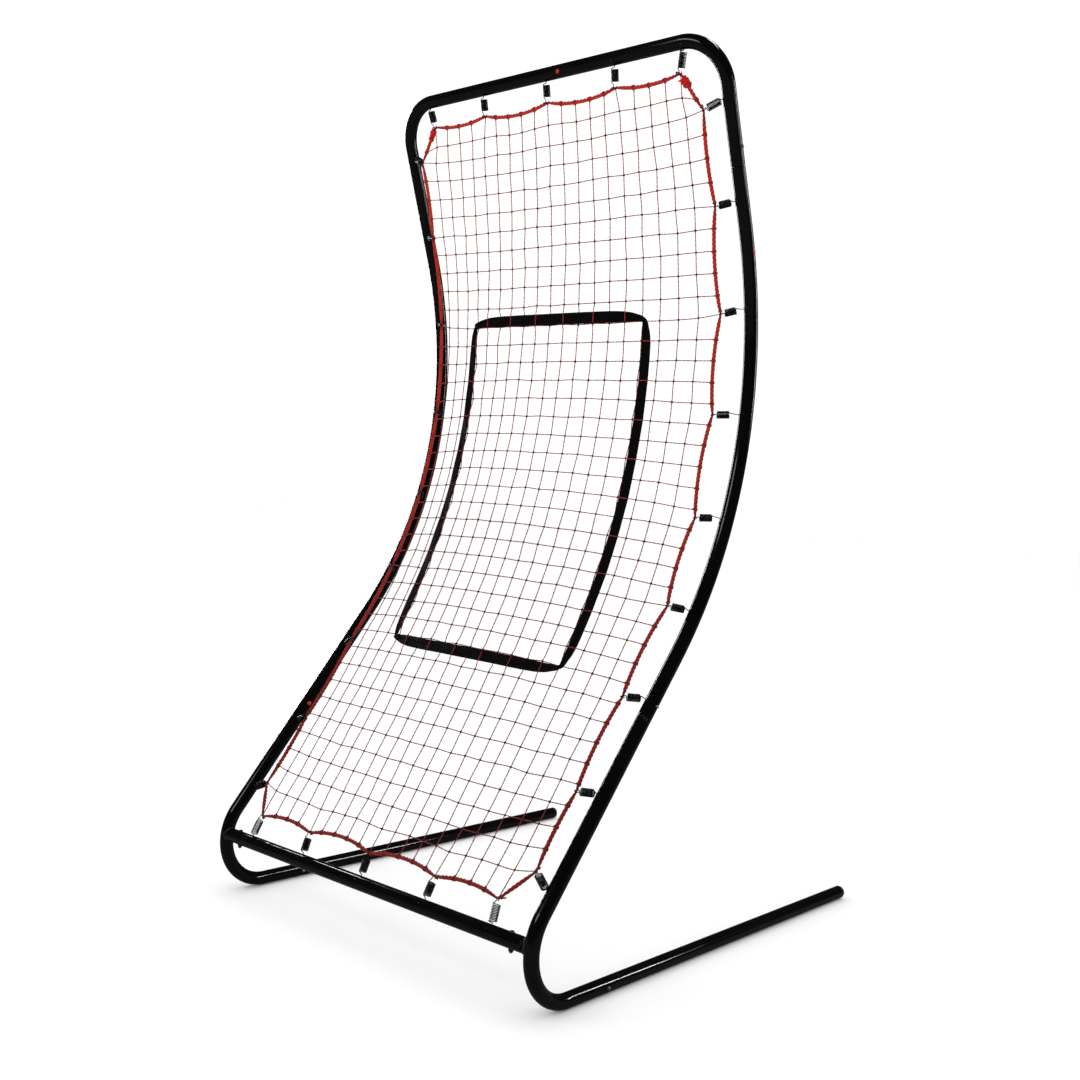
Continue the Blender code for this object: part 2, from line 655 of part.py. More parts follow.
def strike_zone():
    """Flat webbing rectangle held just in front of the net."""
    # corner cell, outward signs at the corner, outward signs along the edge after it, steps
    edges = (
        ((ZONE_LEFT, ZONE_BOTTOM), (-1, -1), (0, -1), 4),
        ((ZONE_RIGHT, ZONE_BOTTOM), (1, -1), (1, 0), 9),
        ((ZONE_RIGHT, ZONE_TOP), (1, 1), (0, 1), 4),
        ((ZONE_LEFT, ZONE_TOP), (-1, 1), (-1, 0), 9),
    )
    stations = []   # column, row, outward signs, width
    for k, (a, corner_out, edge_out, steps) in enumerate(edges):
        b = edges[(k + 1) % 4][0]
        stations.append((*a, corner_out, WEB_CORNER_W))
        gather = WEB_GATHER / (sheet(*b) - sheet(*a)).length
        for t in span(gather, 1 - gather, steps):
            stations.append((a[0] + (b[0] - a[0]) * t, a[1] + (b[1] - a[1]) * t, edge_out, WEB_W))
    verts, faces = [], []
    for k, (i, j, signs, width) in enumerate(stations):
        normal = sheet_normal(i, j)
        centre = sheet(i, j) + normal * WEB_LIFT
        across = (sheet(i + 0.4, j) - sheet(i - 0.4, j)).normalized()
        up = (sheet(i, j + 0.4) - sheet(i, j - 0.4)).normalized()
        out = (across * signs[0] + up * signs[1]) * (width / 2)
        # outer front, inner front, outer back, inner back
        for lift in (WEB_T / 2, -WEB_T / 2):
            verts += [centre + out + normal * lift, centre - out + normal * lift]
        a, b = k * 4, ((k + 1) % len(stations)) * 4
        faces += [(a, b, b + 1, a + 1), (a + 2, a + 3, b + 3, b + 2),
                  (a, a + 2, b + 2, b), (a + 1, b + 1, b + 3, a + 3)]
    new_object("strike_zone_webbing", verts, faces, WEB_BLACK, smooth=False)


def corner_lashing(word, top_hook, side_hook):
    """Sleeve wound round the rope at a top corner."""
    direction = (side_hook - top_hook).normalized()
    stations = [(top_hook + direction * distance, direction, -Y_AXIS, radius, LASHING_BORE_R)
                for distance, radius in LASHING]
    tube(f"corner_lashing_{word}", stations, ROPE_RED, segs=8)


def face_outwards(mesh):
    """Flip a closed mesh whose signed volume is negative."""
    volume = 0.0
    for polygon in mesh.polygons:
        first, *others = [mesh.vertices[v].co for v in polygon.vertices]
        for b, c in zip(others, others[1:]):
            volume += first.dot(b.cross(c))
    if volume < 0:
        mesh.flip_normals()


# ---------------------------------------------------------------- build
clear_scene()
hole_cutters()
for sign, word in SIDES:
    for build in (side_tube, base_bend, leg, leg_cap):
        build(sign * HALF_W, word)
    bolt_and_nut(sign, word)
top_bow()
crossbar()
for button in BUTTONS:
    snap_button(*button)
for entry in PLUGS:
    plug(*entry)
for entry in SPRINGS:
    spring(*entry)
net_panel()
border_rope()
strike_zone()
corner_lashing("left", HOOKS["top"][0], HOOKS["left"][8])
corner_lashing("right", HOOKS["top"][4], HOOKS["right"][8])
for ob in bpy.data.objects:
    face_outwards(ob.data)
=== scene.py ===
"""Looks of the pitching target net: smooth tubes, coiled springs, a laid border rope, knotted cords and woven webbing,
built round the fixed frame. Metres, +Z up, the thrower stands on the -Y side."""
import math

import bpy
import numpy as np
from mathutils import Matrix, Vector


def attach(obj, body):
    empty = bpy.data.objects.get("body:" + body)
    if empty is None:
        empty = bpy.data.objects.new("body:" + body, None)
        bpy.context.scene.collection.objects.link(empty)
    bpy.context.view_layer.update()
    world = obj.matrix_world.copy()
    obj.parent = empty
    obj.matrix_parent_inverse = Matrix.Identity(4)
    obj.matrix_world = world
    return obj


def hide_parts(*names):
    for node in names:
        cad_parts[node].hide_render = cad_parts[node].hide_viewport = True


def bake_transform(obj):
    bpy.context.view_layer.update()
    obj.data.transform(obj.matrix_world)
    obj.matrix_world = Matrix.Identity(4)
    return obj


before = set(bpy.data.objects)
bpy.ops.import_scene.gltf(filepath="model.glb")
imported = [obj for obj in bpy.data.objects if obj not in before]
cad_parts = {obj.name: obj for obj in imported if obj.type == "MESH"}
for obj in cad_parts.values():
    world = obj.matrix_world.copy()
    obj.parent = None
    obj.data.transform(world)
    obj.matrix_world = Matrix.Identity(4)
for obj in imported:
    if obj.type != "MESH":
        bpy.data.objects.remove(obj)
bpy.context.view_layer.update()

# ---------------------------------------------------------------- the frame's own dimensions
TUBE_R, WALL, SWAGE_R, SWAGE_LEN = 0.014, 0.0014, 0.0121, 0.060
SHOULDER, JOINT_GAP = 0.0025, 0.0005
HALF_W, BEND_R, LEAN = 0.4405, 0.101, math.radians(51.1)
LOWER_STRAIGHT, BACK_R, TOP_LEAN, UPPER_STRAIGHT = 0.541, 0.874, math.radians(109.7), 0.257
CORNER_R, LEG_END, BEND_Y = 0.0935, 0.972, -0.4341
LEG_JOINT_Y, LOWER_JOINT_S, UPPER_JOINT_S = 0.136, 0.400, 1.542
CROSSBAR_S, STUB_LEN = -0.055, 0.062
BUTTON_HOLE_R, BUTTON_TIP = 0.0039, 0.0182
LOWER_BUTTON_S, UPPER_BUTTON_S, LEG_BUTTON_Y = 0.432, 1.577, 0.099
BOLT_X, BOLT_R, BOLT_HOLE_R = 0.393, 0.003, 0.0034
SIDE_HOOK_S = (0.071, 0.233, 0.438, 0.6465, 0.845, 1.058, 1.263, 1.4726, 1.6505)
LEFT_HOOK_S = (0.071, 0.233, 0.438, 0.6465, 0.845, 1.058, 1.277, 1.4870, 1.6580)
RIGHT_HOOK_S = (0.068, 0.228, 0.428, 0.6385, 0.833, 1.052, 1.261, 1.4740, 1.6550)
LEFT_HOLE_S = (0.050, 0.230, 0.436, 0.6450, 0.848, 1.060, 1.280, 1.4880, 1.6760)
RIGHT_HOLE_S = (0.032, 0.240, 0.446, 0.6450, 0.848, 1.060, 1.272, 1.4790, 1.6720)
RIGHT_FORWARD = (0.007, 0.012, 0.021, 0.024, 0.033, 0.041, 0.030, 0.018, 0.016)
SIDE_HOOK_X, SIDE_FORWARD, FORWARD_CENTRE, FORWARD_HALF = 0.389, 0.055, 0.98, 1.25
END_HOOK_X = (-0.342, -0.182, 0.0, 0.182, 0.342)
TOP_HOLE_X = (-0.356, -0.184, 0.0, 0.184, 0.356)
BOTTOM_HOLE_X = (-0.358, -0.186, -0.008, 0.170, 0.342)
END_DROP, END_FORWARD = 0.056, 0.008
SPRING_R, SPRING_BODY, HOOK_HOLE_R = 0.0078, 0.030, 0.0023
COLS, ROWS = 20, 39
ROPE_R, END_PULL, SIDE_PULL, EASE = 0.004, 9.0, 16.0, 0.08
WEB_W, WEB_T, WEB_CORNER_W = 0.025, 0.0016, 0.010
ZONE_I, ZONE_J = (3.66, 16.34), (9.70, 28.30)
FLOOR_Z = TUBE_R * math.cos(math.pi / 12)

BEND_LEN = BEND_R * (math.pi - LEAN)
S_ARC = LOWER_STRAIGHT + BACK_R * (TOP_LEAN - LEAN)
S_END = S_ARC + UPPER_STRAIGHT
S_TOP = S_END + CORNER_R
X = np.array((1.0, 0.0, 0.0))


def unit(v):
    v = np.asarray(v, float)
    return v / np.linalg.norm(v)


def side(s):
    if s < -BEND_LEN:
        return BEND_Y - (s + BEND_LEN), FLOOR_Z, math.pi
    if s < 0:
        a = (s + BEND_LEN) / BEND_R
        return BEND_Y - BEND_R * math.sin(a), FLOOR_Z + BEND_R * (1 - math.cos(a)), math.pi - a
    y0, z0 = BEND_Y - BEND_R * math.sin(LEAN), FLOOR_Z + BEND_R * (1 + math.cos(LEAN))
    if s < LOWER_STRAIGHT:
        return y0 + s * math.cos(LEAN), z0 + s * math.sin(LEAN), LEAN
    y1, z1 = y0 + LOWER_STRAIGHT * math.cos(LEAN), z0 + LOWER_STRAIGHT * math.sin(LEAN)
    cy, cz = y1 - BACK_R * math.sin(LEAN), z1 + BACK_R * math.cos(LEAN)
    a = min(LEAN + (s - LOWER_STRAIGHT) / BACK_R, TOP_LEAN)
    y2, z2 = cy + BACK_R * math.sin(a), cz - BACK_R * math.cos(a)
    if s < S_ARC:
        return y2, z2, a
    return y2 + (s - S_ARC) * math.cos(a), z2 + (s - S_ARC) * math.sin(a), a


def point(x, s, forward=0.0):
    y, z, a = side(s)
    return np.array((x, y - forward * math.sin(a), z + forward * math.cos(a)))


def leg_s(back):
    return -BEND_LEN - back


def forward_at(s):
    return SIDE_FORWARD * math.cos(math.pi * (s - FORWARD_CENTRE) / (2 * FORWARD_HALF)) ** 2


def end_hook(x, top):
    return point(x, S_TOP - END_DROP, END_FORWARD) if top else point(x, CROSSBAR_S + END_DROP, END_FORWARD)


def side_hook(sign, i):
    if sign > 0:
        return point(SIDE_HOOK_X, RIGHT_HOOK_S[i], RIGHT_FORWARD[i])
    return point(-SIDE_HOOK_X, LEFT_HOOK_S[i], forward_at(LEFT_HOOK_S[i]))


def side_hole(sign, i):
    return point(sign * HALF_W, (RIGHT_HOLE_S if sign > 0 else LEFT_HOLE_S)[i])


springs = []
for i in range(9):
    for sign, word in ((-1, "left"), (1, "right")):
        springs.append((f"spring_{word}_{i + 1}", side_hole(sign, i), side_hook(sign, i)))
for i in range(5):
    springs.append((f"spring_top_{i + 1}", point(TOP_HOLE_X[i], S_TOP), end_hook(END_HOOK_X[i], True)))
    springs.append((f"spring_bottom_{i + 1}", point(BOTTOM_HOLE_X[i], CROSSBAR_S), end_hook(END_HOOK_X[i], False)))
spring_at = {n: (c, h) for n, c, h in springs}


# ---------------------------------------------------------------- mesh tools
def face_signed_volume(me):
    n = len(me.vertices)
    co = np.empty(n * 3)
    me.vertices.foreach_get("co", co)
    co = co.reshape(-1, 3) - co.reshape(-1, 3).mean(0)
    me.calc_loop_triangles()
    tri = np.empty(len(me.loop_triangles) * 3, np.int32)
    me.loop_triangles.foreach_get("vertices", tri)
    a, b, c = co[tri[0::3]], co[tri[1::3]], co[tri[2::3]]
    return float((a * np.cross(b, c)).sum())


def build(name, verts, faces, material, uv=None, attrs=None, angle=40.0, smooth=True):
    """One mesh object from vertices, faces and, where given, one (u, v) per face corner."""
    me = bpy.data.meshes.new(name)
    me.from_pydata(np.asarray(verts, float).tolist(), [], [tuple(int(i) for i in f) for f in faces])
    if uv is not None:
        layer = me.uv_layers.new(name="UVMap")
        layer.data.foreach_set("uv", np.asarray(uv, np.float32).ravel())
    for key, values in (attrs or {}).items():
        me.attributes.new(key, "FLOAT", "POINT").data.foreach_set("value", np.asarray(values, np.float32))
    me.update()
    if face_signed_volume(me) < 0:
        me.flip_normals()
    if smooth:
        me.shade_smooth()
        me.set_sharp_from_angle(angle=math.radians(angle))
    me.materials.append(material)
    ob = bpy.data.objects.new(name, me)
    bpy.context.scene.collection.objects.link(ob)
    return ob


class Parts:
    """Gathers several closed shapes into one mesh."""

    def __init__(self):
        self.v, self.f, self.uv, self.a, self.n = [], [], [], {}, 0

    def add(self, verts, faces, uv, **attrs):
        verts = np.asarray(verts, float)
        if len(faces) < 400:            # a small shape may come inside out; turn it over
            c = verts - verts.mean(0)
            vol = sum(float(np.dot(c[f[0]], np.cross(c[f[k]], c[f[k + 1]]))) for f in faces for k in range(1, len(f) - 1))
            if vol < 0:
                uv, k, flipped = np.asarray(uv, float).reshape(-1, 2), 0, []
                for f in faces:
                    flipped.append(uv[k:k + len(f)][::-1])
                    k += len(f)
                faces, uv = [tuple(f)[::-1] for f in faces], np.concatenate(flipped)
        self.v.append(verts)
        self.f.extend([[i + self.n for i in f] for f in faces])
        self.uv.append(np.asarray(uv, float).reshape(-1, 2))
        for k, v in attrs.items():
            self.a.setdefault(k, []).append(np.broadcast_to(np.asarray(v, float), (len(verts),)))
        self.n += len(verts)

    def make(self, name, material, angle=60.0, smooth=True):
        attrs = {k: np.concatenate(v) for k, v in self.a.items()}
        return build(name, np.concatenate(self.v), self.f, material, np.concatenate(self.uv), attrs, angle, smooth)


def rows_to_faces(m, n, closed, caps):
    faces, uv_idx = [], []
    for i in range(m if closed else m - 1):
        j = (i + 1) % m
        for k in range(n):
            l = (k + 1) % n
            faces.append((i * n + k, i * n + l, j * n + l, j * n + k))
            uv_idx.append(((k, i), (k + 1, i), (k + 1, i + 1), (k, i + 1)))
    if caps and not closed:
        faces.append(tuple(range(n - 1, -1, -1)))
        faces.append(tuple(range((m - 1) * n, m * n)))
    return faces, uv_idx


def transport(C, closed=False, ref=None):
    """Tangents and twist-free side axes along a line of points."""
    C = np.asarray(C, float)
    m = len(C)
    T = (np.roll(C, -1, 0) - np.roll(C, 1, 0)) if closed else np.gradient(C, axis=0)
    T /= np.linalg.norm(T, axis=1)[:, None]
    ref = np.array((0.0, 0.0, 1.0)) if ref is None else np.asarray(ref, float)
    if abs(T[0] @ ref) > 0.95:
        ref = np.array((1.0, 0.0, 0.0))
    U = np.empty_like(C)
    u = unit(ref - T[0] * (ref @ T[0]))
    for i in range(m):
        u = u - T[i] * (T[i] @ u)
        u /= np.linalg.norm(u)
        U[i] = u
    if closed:
        last = unit(U[-1] - T[0] * (T[0] @ U[-1]))
        w0 = np.cross(T[0], U[0])
        gap = math.atan2(last @ w0, last @ U[0])
        ang = -gap * np.arange(m) / m
        W = np.cross(T, U)
        U = U * np.cos(ang)[:, None] + W * np.sin(ang)[:, None]
    return T, U, np.cross(T, U)


def line_length(C, closed=False):
    d = np.linalg.norm(np.diff(C, axis=0), axis=1)
    return np.concatenate(([0.0], np.cumsum(d)))


def sweep(C, radii, n=8, closed=False, spin=0.0, ply=0.0, ref=None, frame_axes=None, caps=True):
    """Tube of radius radii along C. ply squeezes the section to an oval that turns with spin, like twisted strands."""
    C = np.asarray(C, float)
    m = len(C)
    T, U, W = frame_axes if frame_axes is not None else transport(C, closed, ref)
    radii = np.broadcast_to(np.asarray(radii, float), (m,))
    spin = np.broadcast_to(np.asarray(spin, float), (m,))
    th = 2 * math.pi * np.arange(n) / n
    r = radii[:, None] * (1 + ply * np.cos(2 * th))[None, :]
    a = th[None, :] + spin[:, None]
    V = C[:, None, :] + (r * np.cos(a))[:, :, None] * U[:, None, :] + (r * np.sin(a))[:, :, None] * W[:, None, :]
    faces, idx = rows_to_faces(m, n, closed, caps)
    L = line_length(C)
    if closed:
        L = np.append(L, L[-1] + np.linalg.norm(C[0] - C[-1]))
    idx = np.array(idx)
    uv = np.stack((idx[:, :, 0] / n, L[idx[:, :, 1]]), -1).reshape(-1, 2)
    if caps and not closed:
        uv = np.concatenate((uv, np.zeros((2 * n, 2))))
    return V.reshape(-1, 3), faces, uv


def smooth_line(P, steps, closed=False):
    """Centripetal-like Catmull-Rom line through P with the given number of steps per span."""
    P = np.asarray(P, float)
    m = len(P)
    out = []
    spans = m if closed else m - 1
    for i in range(spans):
        if closed:
            p0, p1, p2, p3 = P[(i - 1) % m], P[i], P[(i + 1) % m], P[(i + 2) % m]
        else:
            p1, p2 = P[i], P[i + 1]
            p0 = P[i - 1] if i > 0 else 2 * p1 - p2
            p3 = P[i + 2] if i + 2 < m else 2 * p2 - p1
        t = np.arange(steps)[:, None] / steps
        out.append(0.5 * (2 * p1 + (p2 - p0) * t + (2 * p0 - 5 * p1 + 4 * p2 - p3) * t ** 2 + (3 * p1 - p0 - 3 * p2 + p3) * t ** 3))
    if not closed:
        out.append(P[-1:])
    return np.concatenate(out)


def even_line(C, step, closed=False):
    Q = np.concatenate((C, C[:1])) if closed else C
    L = line_length(Q)
    n = max(2, int(round(L[-1] / step)))
    t = np.arange(n) * L[-1] / n if closed else np.linspace(0, L[-1], n + 1)
    return np.stack([np.interp(t, L, Q[:, k]) for k in range(3)], 1), t


def turned(origin, axis, profile, n=40, ref=None, ring=False):
    """A solid of revolution. profile is [(distance along axis, radius), ...]; its ends close on discs, or on each other."""
    w = unit(axis)
    ref = np.array((0.0, 0.0, 1.0)) if ref is None else np.asarray(ref, float)
    if abs(w @ ref) > 0.9:
        ref = np.array((1.0, 0.0, 0.0))
    u = unit(ref - w * (ref @ w))
    v = np.cross(w, u)
    th = 2 * math.pi * np.arange(n) / n
    V = np.concatenate([np.asarray(origin) + w * h + r * (np.cos(th)[:, None] * u + np.sin(th)[:, None] * v) for h, r in profile])
    faces, idx = rows_to_faces(len(profile), n, ring, not ring)
    loop_of = list(profile) + [profile[0]]
    L = np.concatenate(([0], np.cumsum(np.hypot(np.diff([p[0] for p in loop_of]), np.diff([p[1] for p in loop_of])))))
    idx = np.array(idx)
    uv = np.stack((idx[:, :, 0] / n, L[idx[:, :, 1]]), -1).reshape(-1, 2)
    return V, faces, uv if ring else np.concatenate((uv, np.zeros((2 * n, 2))))


def cut(ob, cutter):
    """Cuts the joined cutter out of ob and keeps the result as its mesh."""
    m = ob.modifiers.new("holes", "BOOLEAN")
    m.operation, m.solver, m.object = "DIFFERENCE", "EXACT", cutter
    bpy.context.view_layer.update()
    dg = bpy.context.evaluated_depsgraph_get()
    me = bpy.data.meshes.new_from_object(ob.evaluated_get(dg))
    me.name = ob.name
    ob.modifiers.clear()
    old = ob.data
    ob.data = me
    bpy.data.meshes.remove(old)
    mesh = cutter.data
    bpy.data.objects.remove(cutter)
    bpy.data.meshes.remove(mesh)
    return ob


def polish(ob, line, radius):
    """Gives the outer skin of a bent tube the true round normals, so its reflections run clean past the holes."""
    me = ob.data
    me.shade_smooth()
    me.set_sharp_from_angle(angle=math.radians(28))
    nv = len(me.vertices)
    co = np.empty(nv * 3)
    me.vertices.foreach_get("co", co)
    co = co.reshape(-1, 3)
    A, D = line[:-1], np.diff(line, axis=0)
    dd = (D * D).sum(1)
    best = np.full(nv, 1e9)
    foot = np.zeros((nv, 3))
    for i in range(len(A)):
        t = np.clip(((co - A[i]) @ D[i]) / dd[i], 0, 1)
        q = A[i] + t[:, None] * D[i]
        d = np.linalg.norm(co - q, axis=1)
        k = d < best
        best[k], foot[k] = d[k], q[k]
    radial = (co - foot) / best[:, None]
    on_skin = abs(best - radius) < 6e-5
    nl = len(me.loops)
    vi = np.empty(nl, np.int32)
    me.loops.foreach_get("vertex_index", vi)
    normals = np.empty(nl * 3)
    me.corner_normals.foreach_get("vector", normals)
    normals = normals.reshape(-1, 3)
    start = np.empty(len(me.polygons), np.int32)
    total = np.empty(len(me.polygons), np.int32)
    pn = np.empty(len(me.polygons) * 3)
    me.polygons.foreach_get("loop_start", start)
    me.polygons.foreach_get("loop_total", total)
    me.polygons.foreach_get("normal", pn)
    face_n = np.repeat(pn.reshape(-1, 3), total, axis=0)
    order = np.concatenate([np.arange(s, s + t) for s, t in zip(start, total)])
    fn = np.empty_like(face_n)
    fn[order] = face_n
    ok = on_skin[vi] & ((radial[vi] * fn).sum(1) > 0.985)
    normals[ok] = radial[vi][ok]
    me.normals_split_custom_set(normals.tolist())


# ---------------------------------------------------------------- material tools
def new_material(name, colour=(0.8, 0.8, 0.8), rough=0.5, metal=0.0):
    m = bpy.data.materials.new(name)
    m.use_nodes = True
    b = m.node_tree.nodes["Principled BSDF"]
    b.inputs["Base Color"].default_value = (*colour, 1)
    b.inputs["Roughness"].default_value = rough
    b.inputs["Metallic"].default_value = metal
    return m, m.node_tree, b


def add(nt, kind, **values):
    n = nt.nodes.new(kind)
    for k, v in values.items():
        if hasattr(n, k):
            setattr(n, k, v)
        else:
            n.inputs[k.replace("_", " ")].default_value = v
    return n


def ramp(nt, source, stops):
    r = nt.nodes.new("ShaderNodeValToRGB")
    el = r.color_ramp.elements
    el[0].position, el[0].color = stops[0][0], (*stops[0][1], 1)
    el[1].position, el[1].color = stops[-1][0], (*stops[-1][1], 1)
    for pos, col in stops[1:-1]:
        e = el.new(pos)
        e.color = (*col, 1)
    nt.links.new(source, r.inputs[0])
    return r


def maths(nt, op, a, b=None, clamp=False):
    n = nt.nodes.new("ShaderNodeMath")
    n.operation, n.use_clamp = op, clamp
    for k, v in enumerate((a, b)):
        if v is None:
            continue
        if isinstance(v, (int, float)):
            n.inputs[k].default_value = v
        else:
            nt.links.new(v, n.inputs[k])
    return n.outputs[0]


def blend_colour(nt, fac, a, b):
    n = nt.nodes.new("ShaderNodeMix")
    n.data_type = "RGBA"
    for key, v in ((0, fac), (6, a), (7, b)):
        if isinstance(v, (int, float)):
            n.inputs[key].default_value = v
        elif isinstance(v, tuple):
            n.inputs[key].default_value = (*v, 1)
        else:
            nt.links.new(v, n.inputs[key])
    return n.outputs[2]


def bump(nt, bsdf, height, distance, strength=1.0):
    n = nt.nodes.new("ShaderNodeBump")
    n.inputs["Strength"].default_value = strength
    n.inputs["Distance"].default_value = distance
    nt.links.new(height, n.inputs["Height"])
    nt.links.new(n.outputs[0], bsdf.inputs["Normal"])


def noise_of(nt, coord, scale, detail=2.0, rough=0.5):
    n = nt.nodes.new("ShaderNodeTexNoise")
    n.inputs["Scale"].default_value = scale
    n.inputs["Detail"].default_value = detail
    n.inputs["Roughness"].default_value = rough
    nt.links.new(coord, n.inputs["Vector"])
    return n.outputs["Fac"]


def obj_coord(nt):
    return nt.nodes.new("ShaderNodeTexCoord").outputs["Object"]


def uv_parts(nt):
    tc = nt.nodes.new("ShaderNodeTexCoord")
    sep = nt.nodes.new("ShaderNodeSeparateXYZ")
    nt.links.new(tc.outputs["UV"], sep.inputs[0])
    return sep.outputs[0], sep.outputs[1]


def attribute(nt, name):
    n = nt.nodes.new("ShaderNodeAttribute")
    n.attribute_name = name
    return n.outputs["Fac"]


# ---------------------------------------------------------------- materials
def powder_coat():
    m, nt, b = new_material("powder_coat_black", (0.006, 0.006, 0.0065), 0.2)
    co = obj_coord(nt)
    cloud = noise_of(nt, co, 14.0, 3.0, 0.6)
    peel = noise_of(nt, co, 620.0, 2.0, 0.5)
    dust = noise_of(nt, co, 2400.0, 1.0, 0.5)
    base = ramp(nt, cloud, ((0.3, (0.0008, 0.0008, 0.0011)), (0.7, (0.0018, 0.0017, 0.0021))))
    # worn edges where one tube slides into the next
    wear = maths(nt, "MULTIPLY", attribute(nt, "wear"), maths(nt, "GREATER_THAN", noise_of(nt, co, 900.0, 3.0, 0.7), 0.60))
    specks = maths(nt, "MULTIPLY", maths(nt, "GREATER_THAN", dust, 0.86), 0.35)
    col = blend_colour(nt, specks, base.outputs[0], (0.10, 0.10, 0.10))
    col = blend_colour(nt, maths(nt, "MULTIPLY", wear, 0.6), col, (0.16, 0.155, 0.15))
    nt.links.new(col, b.inputs["Base Color"])
    r = maths(nt, "ADD", maths(nt, "MULTIPLY", cloud, 0.07), 0.06)
    r = maths(nt, "ADD", r, maths(nt, "MULTIPLY", wear, 0.15))
    nt.links.new(r, b.inputs["Roughness"])
    nt.links.new(maths(nt, "MULTIPLY", wear, 0.4), b.inputs["Metallic"])
    b.inputs["Specular IOR Level"].default_value = 0.36
    bump(nt, b, maths(nt, "ADD", peel, maths(nt, "MULTIPLY", wear, -1.5)), 0.00006, 0.35)
    return m


def weld_metal():
    m, nt, b = new_material("weld_bead_painted", (0.012, 0.012, 0.013), 0.3)
    co = obj_coord(nt)
    n = noise_of(nt, co, 700.0, 3.0, 0.6)
    bump(nt, b, n, 0.0002, 0.5)
    nt.links.new(maths(nt, "ADD", maths(nt, "MULTIPLY", n, 0.2), 0.2), b.inputs["Roughness"])
    return m


def plated_steel(name, dark, light, rough, metal=1.0, scale=1500.0):
    m, nt, b = new_material(name, light, rough, metal)
    co = obj_coord(nt)
    n = noise_of(nt, co, scale, 3.0, 0.65)
    big = noise_of(nt, co, 90.0, 2.0, 0.5)
    c = ramp(nt, maths(nt, "ADD", maths(nt, "MULTIPLY", n, 0.6), maths(nt, "MULTIPLY", big, 0.4)), ((0.35, dark), (0.65, light)))
    nt.links.new(c.outputs[0], b.inputs["Base Color"])
    nt.links.new(maths(nt, "ADD", maths(nt, "MULTIPLY", n, 0.22), rough - 0.11), b.inputs["Roughness"])
    bump(nt, b, n, 0.00003, 0.4)
    return m


def spring_wire():
    """Black plated wire with drawing marks along it, and bright bare steel: partly rubbed wear, partly a painted
    highlight on the coils' outer faces.
    """
    m, nt, b = new_material("spring_wire", (0.03, 0.03, 0.032), 0.3, 0.9)
    u, v = uv_parts(nt)
    comb = nt.nodes.new("ShaderNodeCombineXYZ")
    nt.links.new(maths(nt, "MULTIPLY", u, 9.0), comb.inputs[0])
    nt.links.new(maths(nt, "MULTIPLY", v, 30.0), comb.inputs[1])
    streak = noise_of(nt, comb.outputs[0], 3.0, 3.0, 0.6)
    co = obj_coord(nt)
    # bright bare steel where the attribute asks: partly rubbed wear, partly a painted highlight
    rub = maths(nt, "MULTIPLY", attribute(nt, "rub"), maths(nt, "GREATER_THAN", noise_of(nt, co, 260.0, 3.0, 0.6), 0.50))
    base = ramp(nt, streak, ((0.3, (0.006, 0.006, 0.007)), (0.7, (0.018, 0.018, 0.020))))
    nt.links.new(blend_colour(nt, rub, base.outputs[0], (0.40, 0.40, 0.41)), b.inputs["Base Color"])
    nt.links.new(maths(nt, "ADD", maths(nt, "MULTIPLY", streak, 0.18), 0.2), b.inputs["Roughness"])
    bump(nt, b, streak, 0.00004, 0.5)
    return m


def height_light_shade(nt, low, high, z0, z1):
    """A colour that runs from low to high with height: painted light and shade, lighter high up and darker low down."""
    sep = nt.nodes.new("ShaderNodeSeparateXYZ")
    nt.links.new(obj_coord(nt), sep.inputs[0])
    f = maths(nt, "DIVIDE", maths(nt, "SUBTRACT", sep.outputs[2], z0), z1 - z0, clamp=True)
    return blend_colour(nt, f, low, high)


def fibre(name, low, high, dark, twist, yarns, z0=0.3, z1=1.7, sheen=0.3, distance=0.0002, strength=0.9):
    """Twisted fibre: yarns that run round the strand, with painted shade in the grooves between them, loose threads,
    and painted light and shade that makes the colour lighter with height.
    """
    m, nt, b = new_material(name, high, 0.85)
    u, v = uv_parts(nt)
    phase = maths(nt, "ADD", maths(nt, "MULTIPLY", u, float(yarns)), maths(nt, "MULTIPLY", v, float(twist)))
    wave = maths(nt, "ADD", maths(nt, "MULTIPLY", maths(nt, "SINE", maths(nt, "MULTIPLY", phase, 2 * math.pi)), 0.5), 0.5)
    comb = nt.nodes.new("ShaderNodeCombineXYZ")
    nt.links.new(maths(nt, "MULTIPLY", phase, 3.0), comb.inputs[0])
    nt.links.new(maths(nt, "MULTIPLY", v, 160.0), comb.inputs[1])
    thread = noise_of(nt, comb.outputs[0], 2.0, 3.0, 0.6)
    patch = noise_of(nt, obj_coord(nt), 60.0, 3.0, 0.6)
    # painted light and shade: lighter high up, darker low down
    light_by_height = height_light_shade(nt, low, high, z0, z1)
    # painted shade: the colour darkens in the grooves between the yarns
    groove_shade = maths(nt, "MULTIPLY", maths(nt, "SUBTRACT", 1.0, wave), 0.75)
    col = blend_colour(nt, groove_shade, light_by_height, dark)
    col = blend_colour(nt, maths(nt, "MULTIPLY", patch, 0.45), col, dark)
    # darker wherever the 'dark' attribute is set: near the hooks, near the knots, on the ties, towards the tail's end,
    # and at random
    darkening = attribute(nt, "dark")
    col = blend_colour(nt, maths(nt, "MULTIPLY", darkening, 0.85), col, dark)
    nt.links.new(col, b.inputs["Base Color"])
    nt.links.new(maths(nt, "ADD", maths(nt, "MULTIPLY", thread, 0.2), 0.72), b.inputs["Roughness"])
    b.inputs["Specular IOR Level"].default_value = 0.12
    b.inputs["Sheen Weight"].default_value = sheen * 0.3
    b.inputs["Sheen Roughness"].default_value = 0.5
    bump(nt, b, maths(nt, "ADD", wave, maths(nt, "MULTIPLY", thread, 0.6)), distance, strength)
    return m


